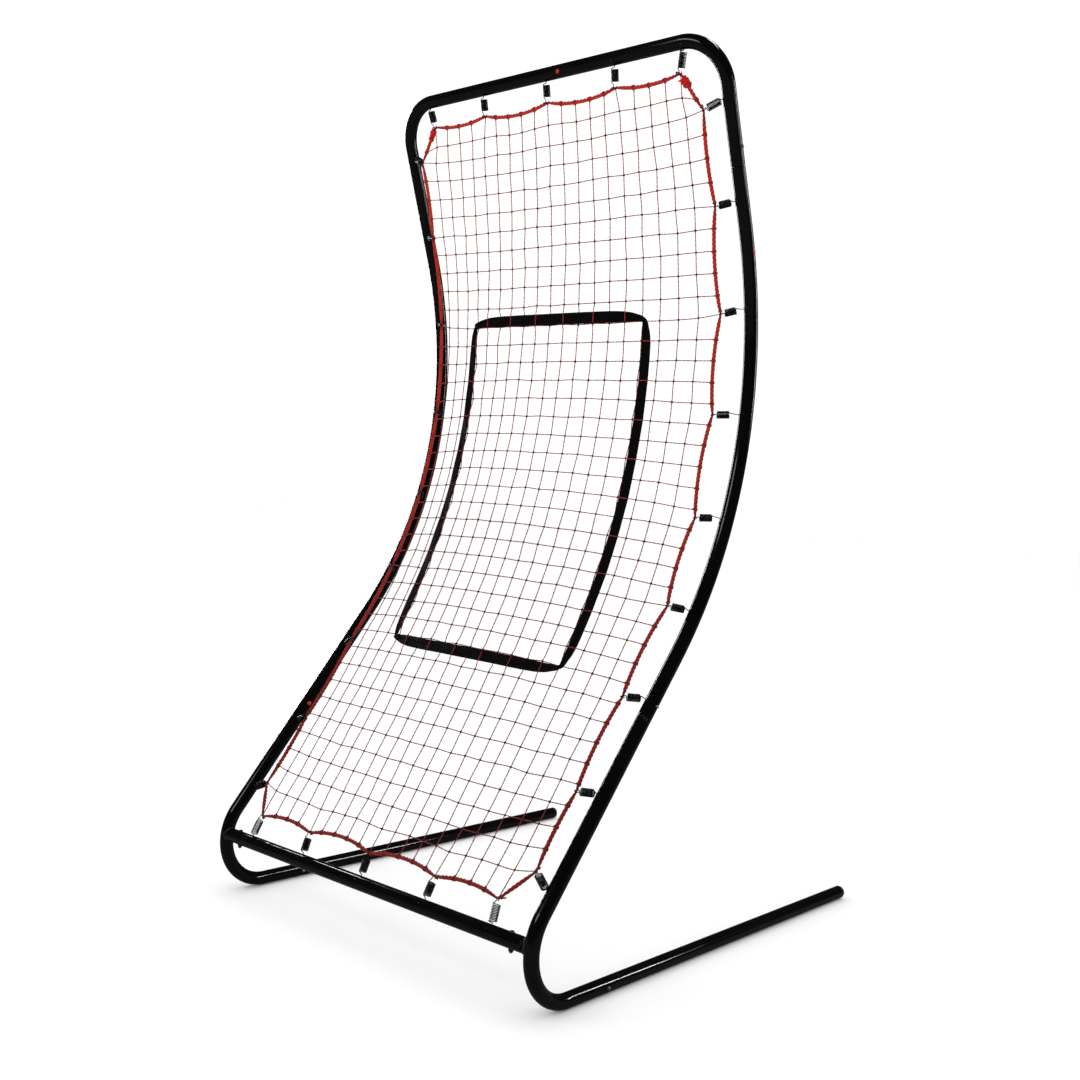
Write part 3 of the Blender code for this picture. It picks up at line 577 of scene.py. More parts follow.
def webbing_weave():
    """Flat woven webbing: a herringbone of yarns across, firmer selvedges, a line of stitching near each edge."""
    m, nt, b = new_material("webbing_weave_black", (0.008, 0.008, 0.008), 0.8)
    u, v = uv_parts(nt)                 # u across in metres from the middle, v along in metres
    across = maths(nt, "ABSOLUTE", u)
    zig = maths(nt, "PINGPONG", u, 0.0042)
    twill = maths(nt, "SINE", maths(nt, "MULTIPLY", maths(nt, "ADD", v, zig), 2 * math.pi / 0.0022))
    warp = maths(nt, "SINE", maths(nt, "MULTIPLY", u, 2 * math.pi / 0.0011))
    weave = maths(nt, "ADD", maths(nt, "MULTIPLY", twill, 0.32), maths(nt, "MULTIPLY", warp, 0.18))
    weave = maths(nt, "ADD", weave, 0.5)
    edge = maths(nt, "GREATER_THAN", across, WEB_W / 2 - 0.0016)
    seam = maths(nt, "LESS_THAN", maths(nt, "ABSOLUTE", maths(nt, "SUBTRACT", across, WEB_W / 2 - 0.0034)), 0.00035)
    stitch = maths(nt, "MULTIPLY", seam, maths(nt, "GREATER_THAN", maths(nt, "SINE", maths(nt, "MULTIPLY", v, 2 * math.pi / 0.0042)), -0.3))
    fuzz = noise_of(nt, obj_coord(nt), 900.0, 3.0, 0.7)
    # painted shade: darker where the weave lies low, lighter on its raised yarns, mixed with random fuzz
    base = ramp(nt, maths(nt, "ADD", maths(nt, "MULTIPLY", weave, 0.7), maths(nt, "MULTIPLY", fuzz, 0.3)),
                ((0.2, (0.0004, 0.0003, 0.0004)), (0.8, (0.0022, 0.0018, 0.0020))))
    col = blend_colour(nt, stitch, base.outputs[0], (0.006, 0.005, 0.005))
    nt.links.new(col, b.inputs["Base Color"])
    nt.links.new(maths(nt, "ADD", maths(nt, "MULTIPLY", fuzz, 0.2), 0.62), b.inputs["Roughness"])
    b.inputs["Specular IOR Level"].default_value = 0.08
    b.inputs["Sheen Weight"].default_value = 0.02
    h = maths(nt, "ADD", weave, maths(nt, "ADD", maths(nt, "MULTIPLY", edge, 0.5), maths(nt, "MULTIPLY", stitch, 0.9)))
    bump(nt, b, h, 0.00035, 0.8)
    return m


def moulded(name, dark, light, rough, fine=1100.0, distance=0.00008, spec=0.4, coat=0.0):
    m, nt, b = new_material(name, light, rough)
    co = obj_coord(nt)
    n = noise_of(nt, co, fine, 2.0, 0.6)
    c = ramp(nt, noise_of(nt, co, 70.0, 3.0, 0.6), ((0.35, dark), (0.65, light)))
    nt.links.new(c.outputs[0], b.inputs["Base Color"])
    nt.links.new(maths(nt, "ADD", maths(nt, "MULTIPLY", n, 0.16), rough - 0.08), b.inputs["Roughness"])
    b.inputs["Specular IOR Level"].default_value = spec
    b.inputs["Coat Weight"].default_value = coat
    bump(nt, b, n, distance, 0.5)
    return m


PAINT = powder_coat()
WELD = weld_metal()
BOLT_STEEL = plated_steel("bolt_black_zinc", (0.030, 0.030, 0.034), (0.10, 0.10, 0.11), 0.38, 0.9)
BUTTON_STEEL = plated_steel("button_bright_steel", (0.30, 0.30, 0.31), (0.58, 0.58, 0.59), 0.28)
SPRING = spring_wire()
CORD = fibre("net_cord_twine", (0.20, 0.018, 0.017), (0.60, 0.044, 0.038), (0.11, 0.012, 0.011), 160.0, 2.0)
KNOT = fibre("net_knot_twine", (0.065, 0.008, 0.008), (0.085, 0.010, 0.010), (0.016, 0.004, 0.004), 220.0, 2.0)
TIE = fibre("net_tie_twine", (0.20, 0.013, 0.009), (0.50, 0.024, 0.012), (0.09, 0.006, 0.005), 220.0, 2.0, 0.35, 1.5)
ROPE = fibre("border_rope_yarn", (0.28, 0.013, 0.010), (0.80, 0.036, 0.012), (0.12, 0.007, 0.005), -420.0, 3.0, 0.35, 1.5, 0.25, 0.0003)
LASHING = fibre("lashing_cord_red", (0.70, 0.012, 0.008), (0.78, 0.014, 0.009), (0.28, 0.006, 0.004), 500.0, 2.0, 0.45, 1.6, 0.3, 0.0002)
WEBBING = webbing_weave()
CAP = moulded("cap_black_plastic", (0.010, 0.010, 0.010), (0.017, 0.017, 0.018), 0.42)
PLUG = moulded("plug_red_plastic", (0.40, 0.006, 0.010), (0.55, 0.010, 0.014), 0.28, 600.0, 0.00003, 0.5, 0.4)

# ---------------------------------------------------------------- bent tubes
SIDES = 56
TH = 2 * math.pi * (np.arange(SIDES) + 0.5) / SIDES


def smoothstep(t):
    t = np.clip(t, 0.0, 1.0)
    return t * t * (3 - 2 * t)


def pipe(name, outer, inner, place, material):
    """Closed tube wall. outer and inner are [(distance along the line, radius)]; place gives centre, direction, side."""
    rings = []
    for s, r in list(outer) + list(inner)[::-1]:
        c, t, u = place(s)
        v = np.cross(t, u)
        rings.append(c + r * (np.cos(TH)[:, None] * u + np.sin(TH)[:, None] * v))
    V = np.concatenate(rings)
    m, faces = len(rings), []
    for i in range(m):
        j = (i + 1) % m
        for k in range(SIDES):
            l = (k + 1) % SIDES
            faces.append((i * SIDES + k, i * SIDES + l, j * SIDES + l, j * SIDES + k))
    return build(name, V, faces, material)


def lip(s, d, r=TUBE_R):
    """Stations of a cut and deburred tube end at s, with the tube running in direction d."""
    return [(s, r - 0.0006), (s + d * 0.00012, r - 0.00028), (s + d * 0.00035, r - 0.00008), (s + d * 0.0007, r), (s + d * 0.004, r), (s + d * 0.012, r)]


def shoulder(s, d):
    """Stations where a tube of full size, running in direction d, necks down to its swaged end; s is the neck's end."""
    out = [(s - d * (SHOULDER + 0.014), TUBE_R), (s - d * (SHOULDER + 0.004), TUBE_R)]
    for t in np.linspace(0, 1, 7):
        out.append((s - d * SHOULDER * (1 - t), TUBE_R + (SWAGE_R - TUBE_R) * float(smoothstep(t))))
    return out


def add_wear(ob, joints):
    """Paint worn through close to the joint lines. joints are (centre, direction)."""
    n = len(ob.data.vertices)
    co = np.empty(n * 3)
    ob.data.vertices.foreach_get("co", co)
    co = co.reshape(-1, 3)
    w = np.zeros(n)
    for c, d in joints:
        h = (co - c) @ unit(d)
        near = np.linalg.norm(co - c - h[:, None] * unit(d), axis=1) < 0.02
        w = np.maximum(w, np.where(near, np.exp(-(h / 0.0016) ** 2), 0))
    ob.data.attributes.new("wear", "FLOAT", "POINT").data.foreach_set("value", w.astype(np.float32))


def holes(name, cylinders):
    """All the holes of one tube as one cutter. cylinders are (centre, axis, from, to, radius)."""
    P = Parts()
    for c, axis, lo, hi, r in cylinders:
        V, F, UV = turned(c, axis, [(lo, r), (hi, r)], 20)
        P.add(V, F, UV)
    ob = P.make(name, PAINT, smooth=False)
    return ob


def at_side(x):
    def place(s):
        y, z, a = side(s)
        return np.array((x, y, z)), np.array((0.0, math.cos(a), math.sin(a))), X
    return place


D_UP = np.array((0.0, math.cos(TOP_LEAN), math.sin(TOP_LEAN)))
BOW_N = np.cross(X, D_UP)
RISE = S_END - UPPER_JOINT_S
CORNER_LEN = CORNER_R * math.pi / 2
TOP_LEN = 2 * (HALF_W - CORNER_R)
BOW_LEN = 2 * (RISE + CORNER_LEN) + TOP_LEN


def bow(t):
    """Along the top bow from the left joint, over both corners, to the right joint."""
    base = point(0, S_END)

    def at(x, up, d):
        return base + X * x + D_UP * up, unit(d), BOW_N

    mirror = t > BOW_LEN / 2
    q = BOW_LEN - t if mirror else t
    if q < RISE:
        x, up, dx, du = -HALF_W, q - RISE, 0.0, 1.0
    elif q < RISE + CORNER_LEN:
        a = (q - RISE) / CORNER_R
        x, up, dx, du = -HALF_W + CORNER_R * (1 - math.cos(a)), CORNER_R * math.sin(a), math.sin(a), math.cos(a)
    else:
        x, up, dx, du = -HALF_W + CORNER_R + (q - RISE - CORNER_LEN), CORNER_R, 1.0, 0.0
    if mirror:
        x, du = -x, -du
    return at(x, up, X * dx + D_UP * du)


def dense(place, a, b, n=500):
    return np.array([place(s)[0] for s in np.linspace(a, b, n)])


def exit_way(name):
    """Direction from the tube's centre to the small hole where a spring's hook comes out again."""
    c, h = spring_at[name]
    w = unit(h - c)
    if "top" in name or "bottom" in name:
        t = X
    else:
        k = int(name.split("_")[2]) - 1
        a = side((RIGHT_HOLE_S if c[0] > 0 else LEFT_HOLE_S)[k])[2]
        t = np.array((0.0, math.cos(a), math.sin(a)))
    f = unit(np.cross(t, w))
    f = -f if f[1] > 0 else f
    th = math.radians(64)
    return w * math.cos(th) + f * math.sin(th)


def holes_of(name):
    c, h = spring_at[name]
    return [(c, unit(h - c), 0.006, 0.020, HOOK_HOLE_R), (c, exit_way(name), 0.007, 0.020, 0.0015)]


for sign, word in ((-1, "left"), (1, "right")):
    x = sign * HALF_W
    place = at_side(x)
    out_x = np.array((float(sign), 0, 0))

    # side tube
    arc = [(s, TUBE_R) for s in np.linspace(LOWER_STRAIGHT, S_ARC, 44)]
    outer = lip(LOWER_JOINT_S, 1) + arc + shoulder(UPPER_JOINT_S, 1) + [(UPPER_JOINT_S + SWAGE_LEN, SWAGE_R)]
    inner = [(s, r - WALL) for s, r in [(LOWER_JOINT_S, TUBE_R)] + arc + [(UPPER_JOINT_S - SHOULDER, TUBE_R), (UPPER_JOINT_S, SWAGE_R), (UPPER_JOINT_S + SWAGE_LEN, SWAGE_R)]]
    ob = pipe(f"side_tube_{word}_paint", outer, inner, place, PAINT)
    cyl = [z for i in range(2, 8) for z in holes_of(f"spring_{word}_{i + 1}")]
    cyl.append((point(x, LOWER_BUTTON_S), out_x, 0.0, 0.020, BUTTON_HOLE_R))
    cyl.append((point(x, UPPER_BUTTON_S), out_x, 0.0, 0.020, BUTTON_HOLE_R))
    if word == "right":
        cyl.append((point(x, 1.379), out_x, 0.008, 0.020, 0.0028))
    cut(ob, holes("cutter", cyl))
    polish(ob, dense(place, LOWER_JOINT_S - 0.01, UPPER_JOINT_S + 0.08), TUBE_R)
    add_wear(ob, [(place(LOWER_JOINT_S)[0], place(LOWER_JOINT_S)[1]), (place(UPPER_JOINT_S)[0], place(UPPER_JOINT_S)[1])])
    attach(ob, "frame")
    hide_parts(f"side_tube_{word}")

    # base bend
    bend = [(s, TUBE_R) for s in np.linspace(-BEND_LEN, 0, 44)]
    top = LOWER_JOINT_S - JOINT_GAP
    outer = lip(leg_s(LEG_JOINT_Y), 1) + bend + shoulder(top, 1) + [(top + JOINT_GAP + SWAGE_LEN, SWAGE_R)]
    inner = [(s, r - WALL) for s, r in [(leg_s(LEG_JOINT_Y), TUBE_R)] + bend + [(top - SHOULDER, TUBE_R), (top, SWAGE_R), (top + JOINT_GAP + SWAGE_LEN, SWAGE_R)]]
    ob = pipe(f"base_bend_{word}_paint", outer, inner, place, PAINT)
    cyl = [z for i in range(3) for z in holes_of(f"spring_{word}_{i + 1}")]
    cyl.append((point(x, LOWER_BUTTON_S), out_x, 0.0, 0.020, BUTTON_HOLE_R))
    cyl.append((point(x, leg_s(LEG_BUTTON_Y)), X, 0.0, 0.020, BUTTON_HOLE_R))
    if word == "left":
        d = np.array((math.cos(0.3), -math.sin(0.3) * math.sin(LEAN), math.sin(0.3) * math.cos(LEAN)))
        cyl.append((point(x, 0.275), d, 0.008, 0.020, 0.0028))
    cut(ob, holes("cutter", cyl))
    polish(ob, dense(place, leg_s(LEG_JOINT_Y) - 0.01, top + 0.08), TUBE_R)
    add_wear(ob, [(place(top)[0], place(top)[1]), (place(leg_s(LEG_JOINT_Y))[0], place(leg_s(LEG_JOINT_Y))[1])])
    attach(ob, "frame")
    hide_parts(f"base_bend_{word}")

    # the stub the crossbar slides over, with its weld bead
    c, t, _ = place(CROSSBAR_S)
    inward = -out_x
    r_stub = SWAGE_R
    n_dir = np.cross(inward, t)
    ob_line = np.array([c + inward * h for h in (TUBE_R * 0.55, TUBE_R * 0.8, TUBE_R + 0.02, TUBE_R + STUB_LEN)])
    V, F, UV = sweep(ob_line, r_stub, 48, ref=t)
    P = Parts()
    P.add(V, F, UV)
    stub = P.make(f"crossbar_stub_{word}", PAINT)
    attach(stub, "frame")
    phi = np.linspace(0, 2 * math.pi, 160, endpoint=False)
    off = np.sqrt(TUBE_R ** 2 - (r_stub * np.sin(phi)) ** 2)
    line = c + inward * (off + 0.0004)[:, None] + (r_stub + 0.0006) * (np.cos(phi)[:, None] * t + np.sin(phi)[:, None] * n_dir)
    rad = 0.0021 + 0.00028 * np.abs(np.sin(phi * 19)) + 0.0002 * np.sin(phi * 3 + 1)
    V, F, UV = sweep(line, rad, 12, closed=True)
    P = Parts()
    P.add(V, F, UV)
    bead = P.make(f"crossbar_weld_{word}", WELD)
    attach(bead, "frame")

    # leg
    s0 = leg_s(LEG_JOINT_Y + JOINT_GAP)
    outer = lip(leg_s(LEG_END), 1) + shoulder(s0, 1) + [(s0 + JOINT_GAP + SWAGE_LEN, SWAGE_R)]
    inner = [(s, r - WALL) for s, r in [(leg_s(LEG_END), TUBE_R), (s0 - SHOULDER, TUBE_R), (s0, SWAGE_R), (s0 + JOINT_GAP + SWAGE_LEN, SWAGE_R)]]
    ob = pipe(f"leg_{word}_paint", outer, inner, place, PAINT)
    cut(ob, holes("cutter", [(point(x, leg_s(LEG_BUTTON_Y)), X, 0.0, 0.020, BUTTON_HOLE_R)]))
    polish(ob, dense(place, leg_s(LEG_END) - 0.01, s0, 40), TUBE_R)
    add_wear(ob, [(place(s0)[0], place(s0)[1]), (place(leg_s(LEG_END))[0], place(leg_s(LEG_END))[1])])
    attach(ob, "frame")
    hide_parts(f"leg_{word}")

    # domed cap: ribbed plug inside, rolled rim, shallow dome with a moulding pip
    prof = [(-0.018, 0.0098), (-0.0175, 0.0104)]
    for h in np.arange(-0.0165, -0.002, 0.0042):
        prof += [(h, 0.0106), (h + 0.0004, 0.01165), (h + 0.0016, 0.01165), (h + 0.0020, 0.0106)]
    prof += [(0.0004, 0.0106), (0.0004, 0.0132), (0.0008, 0.0139), (0.0016, 0.01405), (0.0036, 0.01405), (0.0044, 0.0139)]
    prof += [(0.0044 + 0.0056 * math.sin(a), 0.0020 + 0.0118 * math.cos(a)) for a in np.linspace(0.12, math.pi / 2, 12)]
    prof += [(0.0100, 0.0012), (0.0098, 0.0010)]
    V, F, UV = turned(point(x, leg_s(LEG_END)), (0, 1, 0), prof, SIDES)
    P = Parts()
    P.add(V, F, UV)
    cap = P.make(f"leg_cap_{word}_plastic", CAP, 32)
    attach(cap, "frame")
    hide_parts(f"leg_cap_{word}")

# top bow
outer = lip(JOINT_GAP, 1)
outer += [(t, TUBE_R) for t in np.linspace(RISE, RISE + CORNER_LEN, 32)]
outer += [(t, TUBE_R) for t in np.linspace(BOW_LEN - RISE - CORNER_LEN, BOW_LEN - RISE, 32)]
outer += lip(BOW_LEN - JOINT_GAP, -1)[::-1]
inner = [(s, TUBE_R - WALL) for s in [JOINT_GAP] + [t for t, r in outer if RISE - 1e-6 <= t <= BOW_LEN - RISE + 1e-6] + [BOW_LEN - JOINT_GAP]]
ob = pipe("top_bow_paint", outer, inner, bow, PAINT)
cyl = holes_of("spring_left_9") + holes_of("spring_right_9") + [z for i in range(5) for z in holes_of(f"spring_top_{i + 1}")]
for sign in (-1, 1):
    cyl.append((point(sign * HALF_W, UPPER_BUTTON_S), (sign, 0, 0), 0.0, 0.020, BUTTON_HOLE_R))
cyl.append((point(0.045, S_TOP), BOW_N, 0.008, 0.020, 0.0028))
cut(ob, holes("cutter", cyl))
polish(ob, dense(bow, 0, BOW_LEN, 900), TUBE_R)
add_wear(ob, [(bow(0.0)[0], D_UP), (bow(BOW_LEN)[0], D_UP)])
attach(ob, "frame")
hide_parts("top_bow")

# crossbar
bar_end = HALF_W - TUBE_R - 0.0010


def along_bar(s):
    return point(s, CROSSBAR_S), X, np.array((0.0, 0.0, 1.0))


outer = lip(-bar_end, 1) + [(-0.2, TUBE_R), (0.0, TUBE_R), (0.2, TUBE_R)] + lip(bar_end, -1)[::-1]
inner = [(-bar_end, TUBE_R - WALL), (0.0, TUBE_R - WALL), (bar_end, TUBE_R - WALL)]
ob = pipe("crossbar_paint", outer, inner, along_bar, PAINT)
cyl = [z for i in range(5) for z in holes_of(f"spring_bottom_{i + 1}")]
for sign in (-1, 1):
    cyl.append((point(sign * BOLT_X, CROSSBAR_S), (0, 0, 1), -0.02, 0.02, BOLT_HOLE_R))
cut(ob, holes("cutter", cyl))
polish(ob, dense(along_bar, -bar_end, bar_end, 60), TUBE_R)
add_wear(ob, [(point(-bar_end, CROSSBAR_S), X), (point(bar_end, CROSSBAR_S), X)])
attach(ob, "frame")
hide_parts("crossbar")


# ---------------------------------------------------------------- bolts, nuts, buttons and plugs
def hex_prism(origin, axis, lo, hi, corner, bore, chamfer, ref):
    """Hex nut or head with chamfered corners and, where bore is not zero, a hole."""
    w = unit(axis)
    u = unit(np.asarray(ref, float) - w * (w @ np.asarray(ref, float)))
    v = np.cross(w, u)
    n = 48
    th = 2 * math.pi * np.arange(n) / n
    flat = corner * math.cos(math.pi / 6)
    hexr = flat / np.cos(((th + math.pi / 6) % (math.pi / 3)) - math.pi / 6)
    circ = np.full(n, flat * 0.985)
    stations = [(lo, circ), (lo + chamfer, np.minimum(hexr, corner)), (hi - chamfer, np.minimum(hexr, corner)), (hi, circ)]
    if bore:
        stations += [(hi, np.full(n, bore + 0.0003)), (hi - 0.0003, np.full(n, bore)), (lo + 0.0003, np.full(n, bore)), (lo, np.full(n, bore + 0.0003))]
    V = np.concatenate([np.asarray(origin) + w * h + r[:, None] * (np.cos(th)[:, None] * u + np.sin(th)[:, None] * v) for h, r in stations])
    faces, idx = rows_to_faces(len(stations), n, bool(bore), not bore)
    idx = np.array(idx)
    uv = np.stack((idx[:, :, 0] / n, idx[:, :, 1] * 0.002), -1).reshape(-1, 2)
    if not bore:
        uv = np.concatenate((uv, np.zeros((2 * n, 2))))
    return V, faces, uv


def thread(origin, axis, lo, hi, r_out, r_in, pitch=0.001, n=20):
    """A threaded shank: a solid core with a ridge that winds round it."""
    w = unit(axis)
    ref = np.array((1.0, 0.0, 0.0))
    u = unit(ref - w * (w @ ref))
    v = np.cross(w, u)
    m = int((hi - lo) / pitch * 6) + 1
    th = 2 * math.pi * np.arange(n) / n
    V = []
    for i in range(m):
        h = lo + (hi - lo) * i / (m - 1)
        r = (r_out + r_in) / 2 + (r_out - r_in) / 2 * np.cos(2 * math.pi * h / pitch - th)
        V.append(np.asarray(origin) + w * h + r[:, None] * (np.cos(th)[:, None] * u + np.sin(th)[:, None] * v))
    faces, idx = rows_to_faces(m, n, False, True)
    idx = np.array(idx)
    uv = np.stack((idx[:, :, 0] / n, idx[:, :, 1] * 0.0003), -1).reshape(-1, 2)
    return np.concatenate(V), faces, np.concatenate((uv, np.zeros((2 * n, 2))))


for sign, word in ((-1, "left"), (1, "right")):
    c = point(sign * BOLT_X, CROSSBAR_S)
    up = np.array((0.0, 0.0, 1.0))
    P = Parts()
    head = [(TUBE_R + 0.0002, 0.0030), (TUBE_R + 0.0002, 0.0046), (TUBE_R + 0.0006, 0.0049)]
    head += [(TUBE_R + 0.0010 + 0.0027 * math.sin(a), 0.0046 * math.cos(a) + 0.0002) for a in np.linspace(0.05, math.pi / 2, 9)]
    V, F, UV = turned(c, up, head, 40)
    P.add(V, F, UV)
    V, F, UV = thread(c, up, -0.0212, TUBE_R + 0.0004, BOLT_R, BOLT_R - 0.00035)
    P.add(V, F, UV)
    bolt = P.make(f"crossbar_bolt_{word}_steel", BOLT_STEEL, 35)
    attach(bolt, "frame")
    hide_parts(f"crossbar_bolt_{word}")
    P = Parts()
    V, F, UV = hex_prism(c, -up, TUBE_R + 0.0013, TUBE_R + 0.0050, 0.0046, BOLT_R + 0.0001, 0.0005, X)
    P.add(V, F, UV)
    wash = [(TUBE_R + 0.0002, 0.0034), (TUBE_R + 0.0002, 0.0050), (TUBE_R + 0.0004, 0.0053), (TUBE_R + 0.0009, 0.0053), (TUBE_R + 0.0012, 0.0050), (TUBE_R + 0.0012, 0.0034)]
    V, F, UV = turned(c, -up, wash, 40, ring=True)
    P.add(V, F, UV)
    nut = P.make(f"crossbar_nut_{word}_steel", BOLT_STEEL, 30)
    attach(nut, "frame")
    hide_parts(f"crossbar_nut_{word}")

for sign, word in ((-1, "left"), (1, "right")):
    x = sign * HALF_W
    for kind, c, axis, down in (
        ("lower", point(x, LOWER_BUTTON_S), (sign, 0, 0), -at_side(x)(LOWER_BUTTON_S)[1]),
        ("upper", point(x, UPPER_BUTTON_S), (sign, 0, 0), -at_side(x)(UPPER_BUTTON_S)[1]),
        ("leg", point(x, leg_s(LEG_BUTTON_Y)), (1, 0, 0), np.array((0.0, 1.0, 0.0))),
    ):
        P = Parts()
        prof = [(0.0076, 0.0040), (0.0078, 0.0044), (0.0086, 0.0044), (0.0088, 0.0040), (0.0088, 0.0034), (BUTTON_TIP - 0.0026, 0.0034)]
        prof += [(BUTTON_TIP - 0.0026 + 0.0026 * math.sin(a), 0.0004 + 0.0030 * math.cos(a)) for a in np.linspace(0.1, math.pi / 2, 10)]
        V, F, UV = turned(c, axis, prof, 32)
        P.add(V, F, UV)
        # near arm of the leaf spring inside the tube
        a, dn = unit(axis), unit(down)
        w = np.cross(a, dn)
        L = np.linspace(-0.003, 0.026, 10)
        H = np.linspace(0.0075, 0.0072, 10)
        box = []
        for l, h in zip(L, H):
            for dh, dw in ((-0.0004, -0.003), (0.0004, -0.003), (0.0004, 0.003), (-0.0004, 0.003)):
                box.append(c + a * (h + dh) + dn * l + w * dw)
        F, idx = rows_to_faces(10, 4, False, True)
        uv = np.zeros((sum(len(f) for f in F), 2))
        P.add(box, F, uv)
        ob = P.make(f"snap_button_{kind}_{word}_steel", BUTTON_STEEL, 35)
        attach(ob, f"snap_button_{kind}_{word}")
        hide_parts(f"snap_button_{kind}_{word}")

for name, c, axis in (
    ("plug_top_bar", point(0.045, S_TOP), BOW_N),
    ("plug_right_side", point(HALF_W, 1.379), X),
    ("plug_left_side", point(-HALF_W, 0.275), np.array((math.cos(0.3), -math.sin(0.3) * math.sin(LEAN), math.sin(0.3) * math.cos(LEAN)))),
):
    prof = [(0.0095, 0.0020), (0.0099, 0.0024), (TUBE_R + 0.0001, 0.0024), (TUBE_R + 0.0002, 0.0043), (TUBE_R + 0.0006, 0.0045)]
    prof += [(TUBE_R + 0.0006 + 0.0016 * math.sin(a), 0.0003 + 0.0041 * math.cos(a)) for a in np.linspace(0.08, math.pi / 2, 9)]
    V, F, UV = turned(c, axis, prof, 32)
    P = Parts()
    P.add(V, F, UV)
    ob = P.make(f"{name}_plastic", PLUG, 35)
    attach(ob, "frame")
    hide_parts(name)

# ---------------------------------------------------------------- the net in balance
HOOK_J = [1 + (s - SIDE_HOOK_S[0]) / (SIDE_HOOK_S[-1] - SIDE_HOOK_S[0]) * (ROWS - 3) for s in SIDE_HOOK_S]
HOOK_I = [1 + (x - END_HOOK_X[0]) / (END_HOOK_X[-1] - END_HOOK_X[0]) * (COLS - 2) for x in END_HOOK_X]


def rope_loop():
    """Rope stations in order round the net: ('node', i, j) where a cord is tied, ('hook', point, i, j) at a spring."""
    loop = []

    def edge(cells, hooks, place, hook_place):
        items = [(c, 0, place(c)) for c in cells] + [(h, 1, hook_place(k)) for k, h in enumerate(hooks)]
        items.sort(key=lambda t: (t[0], t[1]))
        for t in items:
            if t[1] == 0 and any(abs(t[0] - h) < 0.26 for h in hooks):
                continue
            loop.append(t[2])

    cols, rows = range(1, COLS), range(1, ROWS)
    edge(cols, HOOK_I, lambda c: ("node", c, 0), lambda k: ("hook", end_hook(END_HOOK_X[k], False), HOOK_I[k], 0))
    edge(rows, HOOK_J, lambda c: ("node", COLS, c), lambda k: ("hook", side_hook(1, k), COLS, HOOK_J[k]))
    n = len(loop)
    edge(cols, HOOK_I, lambda c: ("node", c, ROWS), lambda k: ("hook", end_hook(END_HOOK_X[k], True), HOOK_I[k], ROWS))
    loop[n:] = loop[n:][::-1]
    n = len(loop)
    edge(rows, HOOK_J, lambda c: ("node", 0, c), lambda k: ("hook", side_hook(-1, k), 0, HOOK_J[k]))
    loop[n:] = loop[n:][::-1]
    return loop


def solve_net():
    loop = rope_loop()
    ids, fixed, pos = {}, [], []

    def put(key, p=None):
        ids[key] = len(pos)
        pos.append(p)
        fixed.append(p is not None)
        return ids[key]

    rope = []
    for t in loop:
        if t[0] == "hook":
            rope.append(put(("hook", t[2], t[3]), np.array(t[1])))
            near = (round(t[2]), round(t[3]))
            if abs(t[2] - near[0]) + abs(t[3] - near[1]) < 0.27:
                ids[near] = rope[-1]
        else:
            rope.append(put((t[1], t[2])))
    for i in range(1, COLS):
        for j in range(1, ROWS):
            put((i, j))
    n = len(pos)
    q = np.zeros((n, n))

    def tie(a, b, k):
        q[a, b] += k
        q[b, a] += k

    for i in range(0, COLS):
        for j in range(1, ROWS):
            if (i, j) in ids and (i + 1, j) in ids:
                tie(ids[(i, j)], ids[(i + 1, j)], 1.0)
    for i in range(1, COLS):
        for j in range(0, ROWS):
            if (i, j) in ids and (i, j + 1) in ids:
                tie(ids[(i, j)], ids[(i, j + 1)], 1.0 if ZONE_J[0] < j < ZONE_J[1] - 1 else 1.0 - EASE)
    cell = [(t[2], t[3]) if t[0] == "hook" else (t[1], t[2]) for t in loop]
    for k in range(len(rope)):
        a, b = cell[k], cell[(k + 1) % len(rope)]
        gap = math.hypot(a[0] - b[0], a[1] - b[1])
        on_side = a[0] == b[0] and a[0] in (0, COLS)
        tie(rope[k], rope[(k + 1) % len(rope)], (SIDE_PULL if on_side else END_PULL) / max(gap, 0.15))
    fixed = np.array(fixed)
    lap = np.diag(q.sum(1)) - q
    out = np.zeros((n, 3))
    out[fixed] = [p for p in pos if p is not None]
    free = ~fixed
    out[free] = np.linalg.solve(lap[np.ix_(free, free)], -lap[np.ix_(free, fixed)] @ out[fixed])
    return ids, rope, loop, out


ids, rope_ids, loop, NODES = solve_net()


def knot_at(i, j):
    return NODES[ids[(i, j)]]


def sheet(i, j):
    i0, j0 = min(max(int(i), 1), COLS - 2), min(max(int(j), 1), ROWS - 2)
    a, b = i - i0, j - j0
    return (knot_at(i0, j0) * (1 - a) + knot_at(i0 + 1, j0) * a) * (1 - b) + (knot_at(i0, j0 + 1) * (1 - a) + knot_at(i0 + 1, j0 + 1) * a) * b


def sheet_normal(i, j, d=0.5):
    i = min(max(i, 1 + d), COLS - 1 - d)
    j = min(max(j, 1 + d), ROWS - 1 - d)
    n = unit(np.cross(sheet(i + d, j) - sheet(i - d, j), sheet(i, j + d) - sheet(i, j - d)))
    return n if n[1] < 0 else -n


def give(i, j):
    """How much of the net's push-back a point at cell (i, j) takes: none at the rope, all in the middle."""
    a = np.clip(np.minimum(i, COLS - np.asarray(i, float)) / (COLS / 2), 0, 1)
    b = np.clip(np.minimum(j, ROWS - np.asarray(j, float)) / 13.0, 0, 1)
    return (1 - (1 - a) ** 2) * (1 - (1 - b) ** 2)


def dish(ob, weights):
    """Bakes ob's placement into its mesh. weights is not used."""
    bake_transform(ob)


def window(x, lo, hi, soft):
    return smoothstep((x - lo) / soft + 0.5) * smoothstep((hi - x) / soft + 0.5)


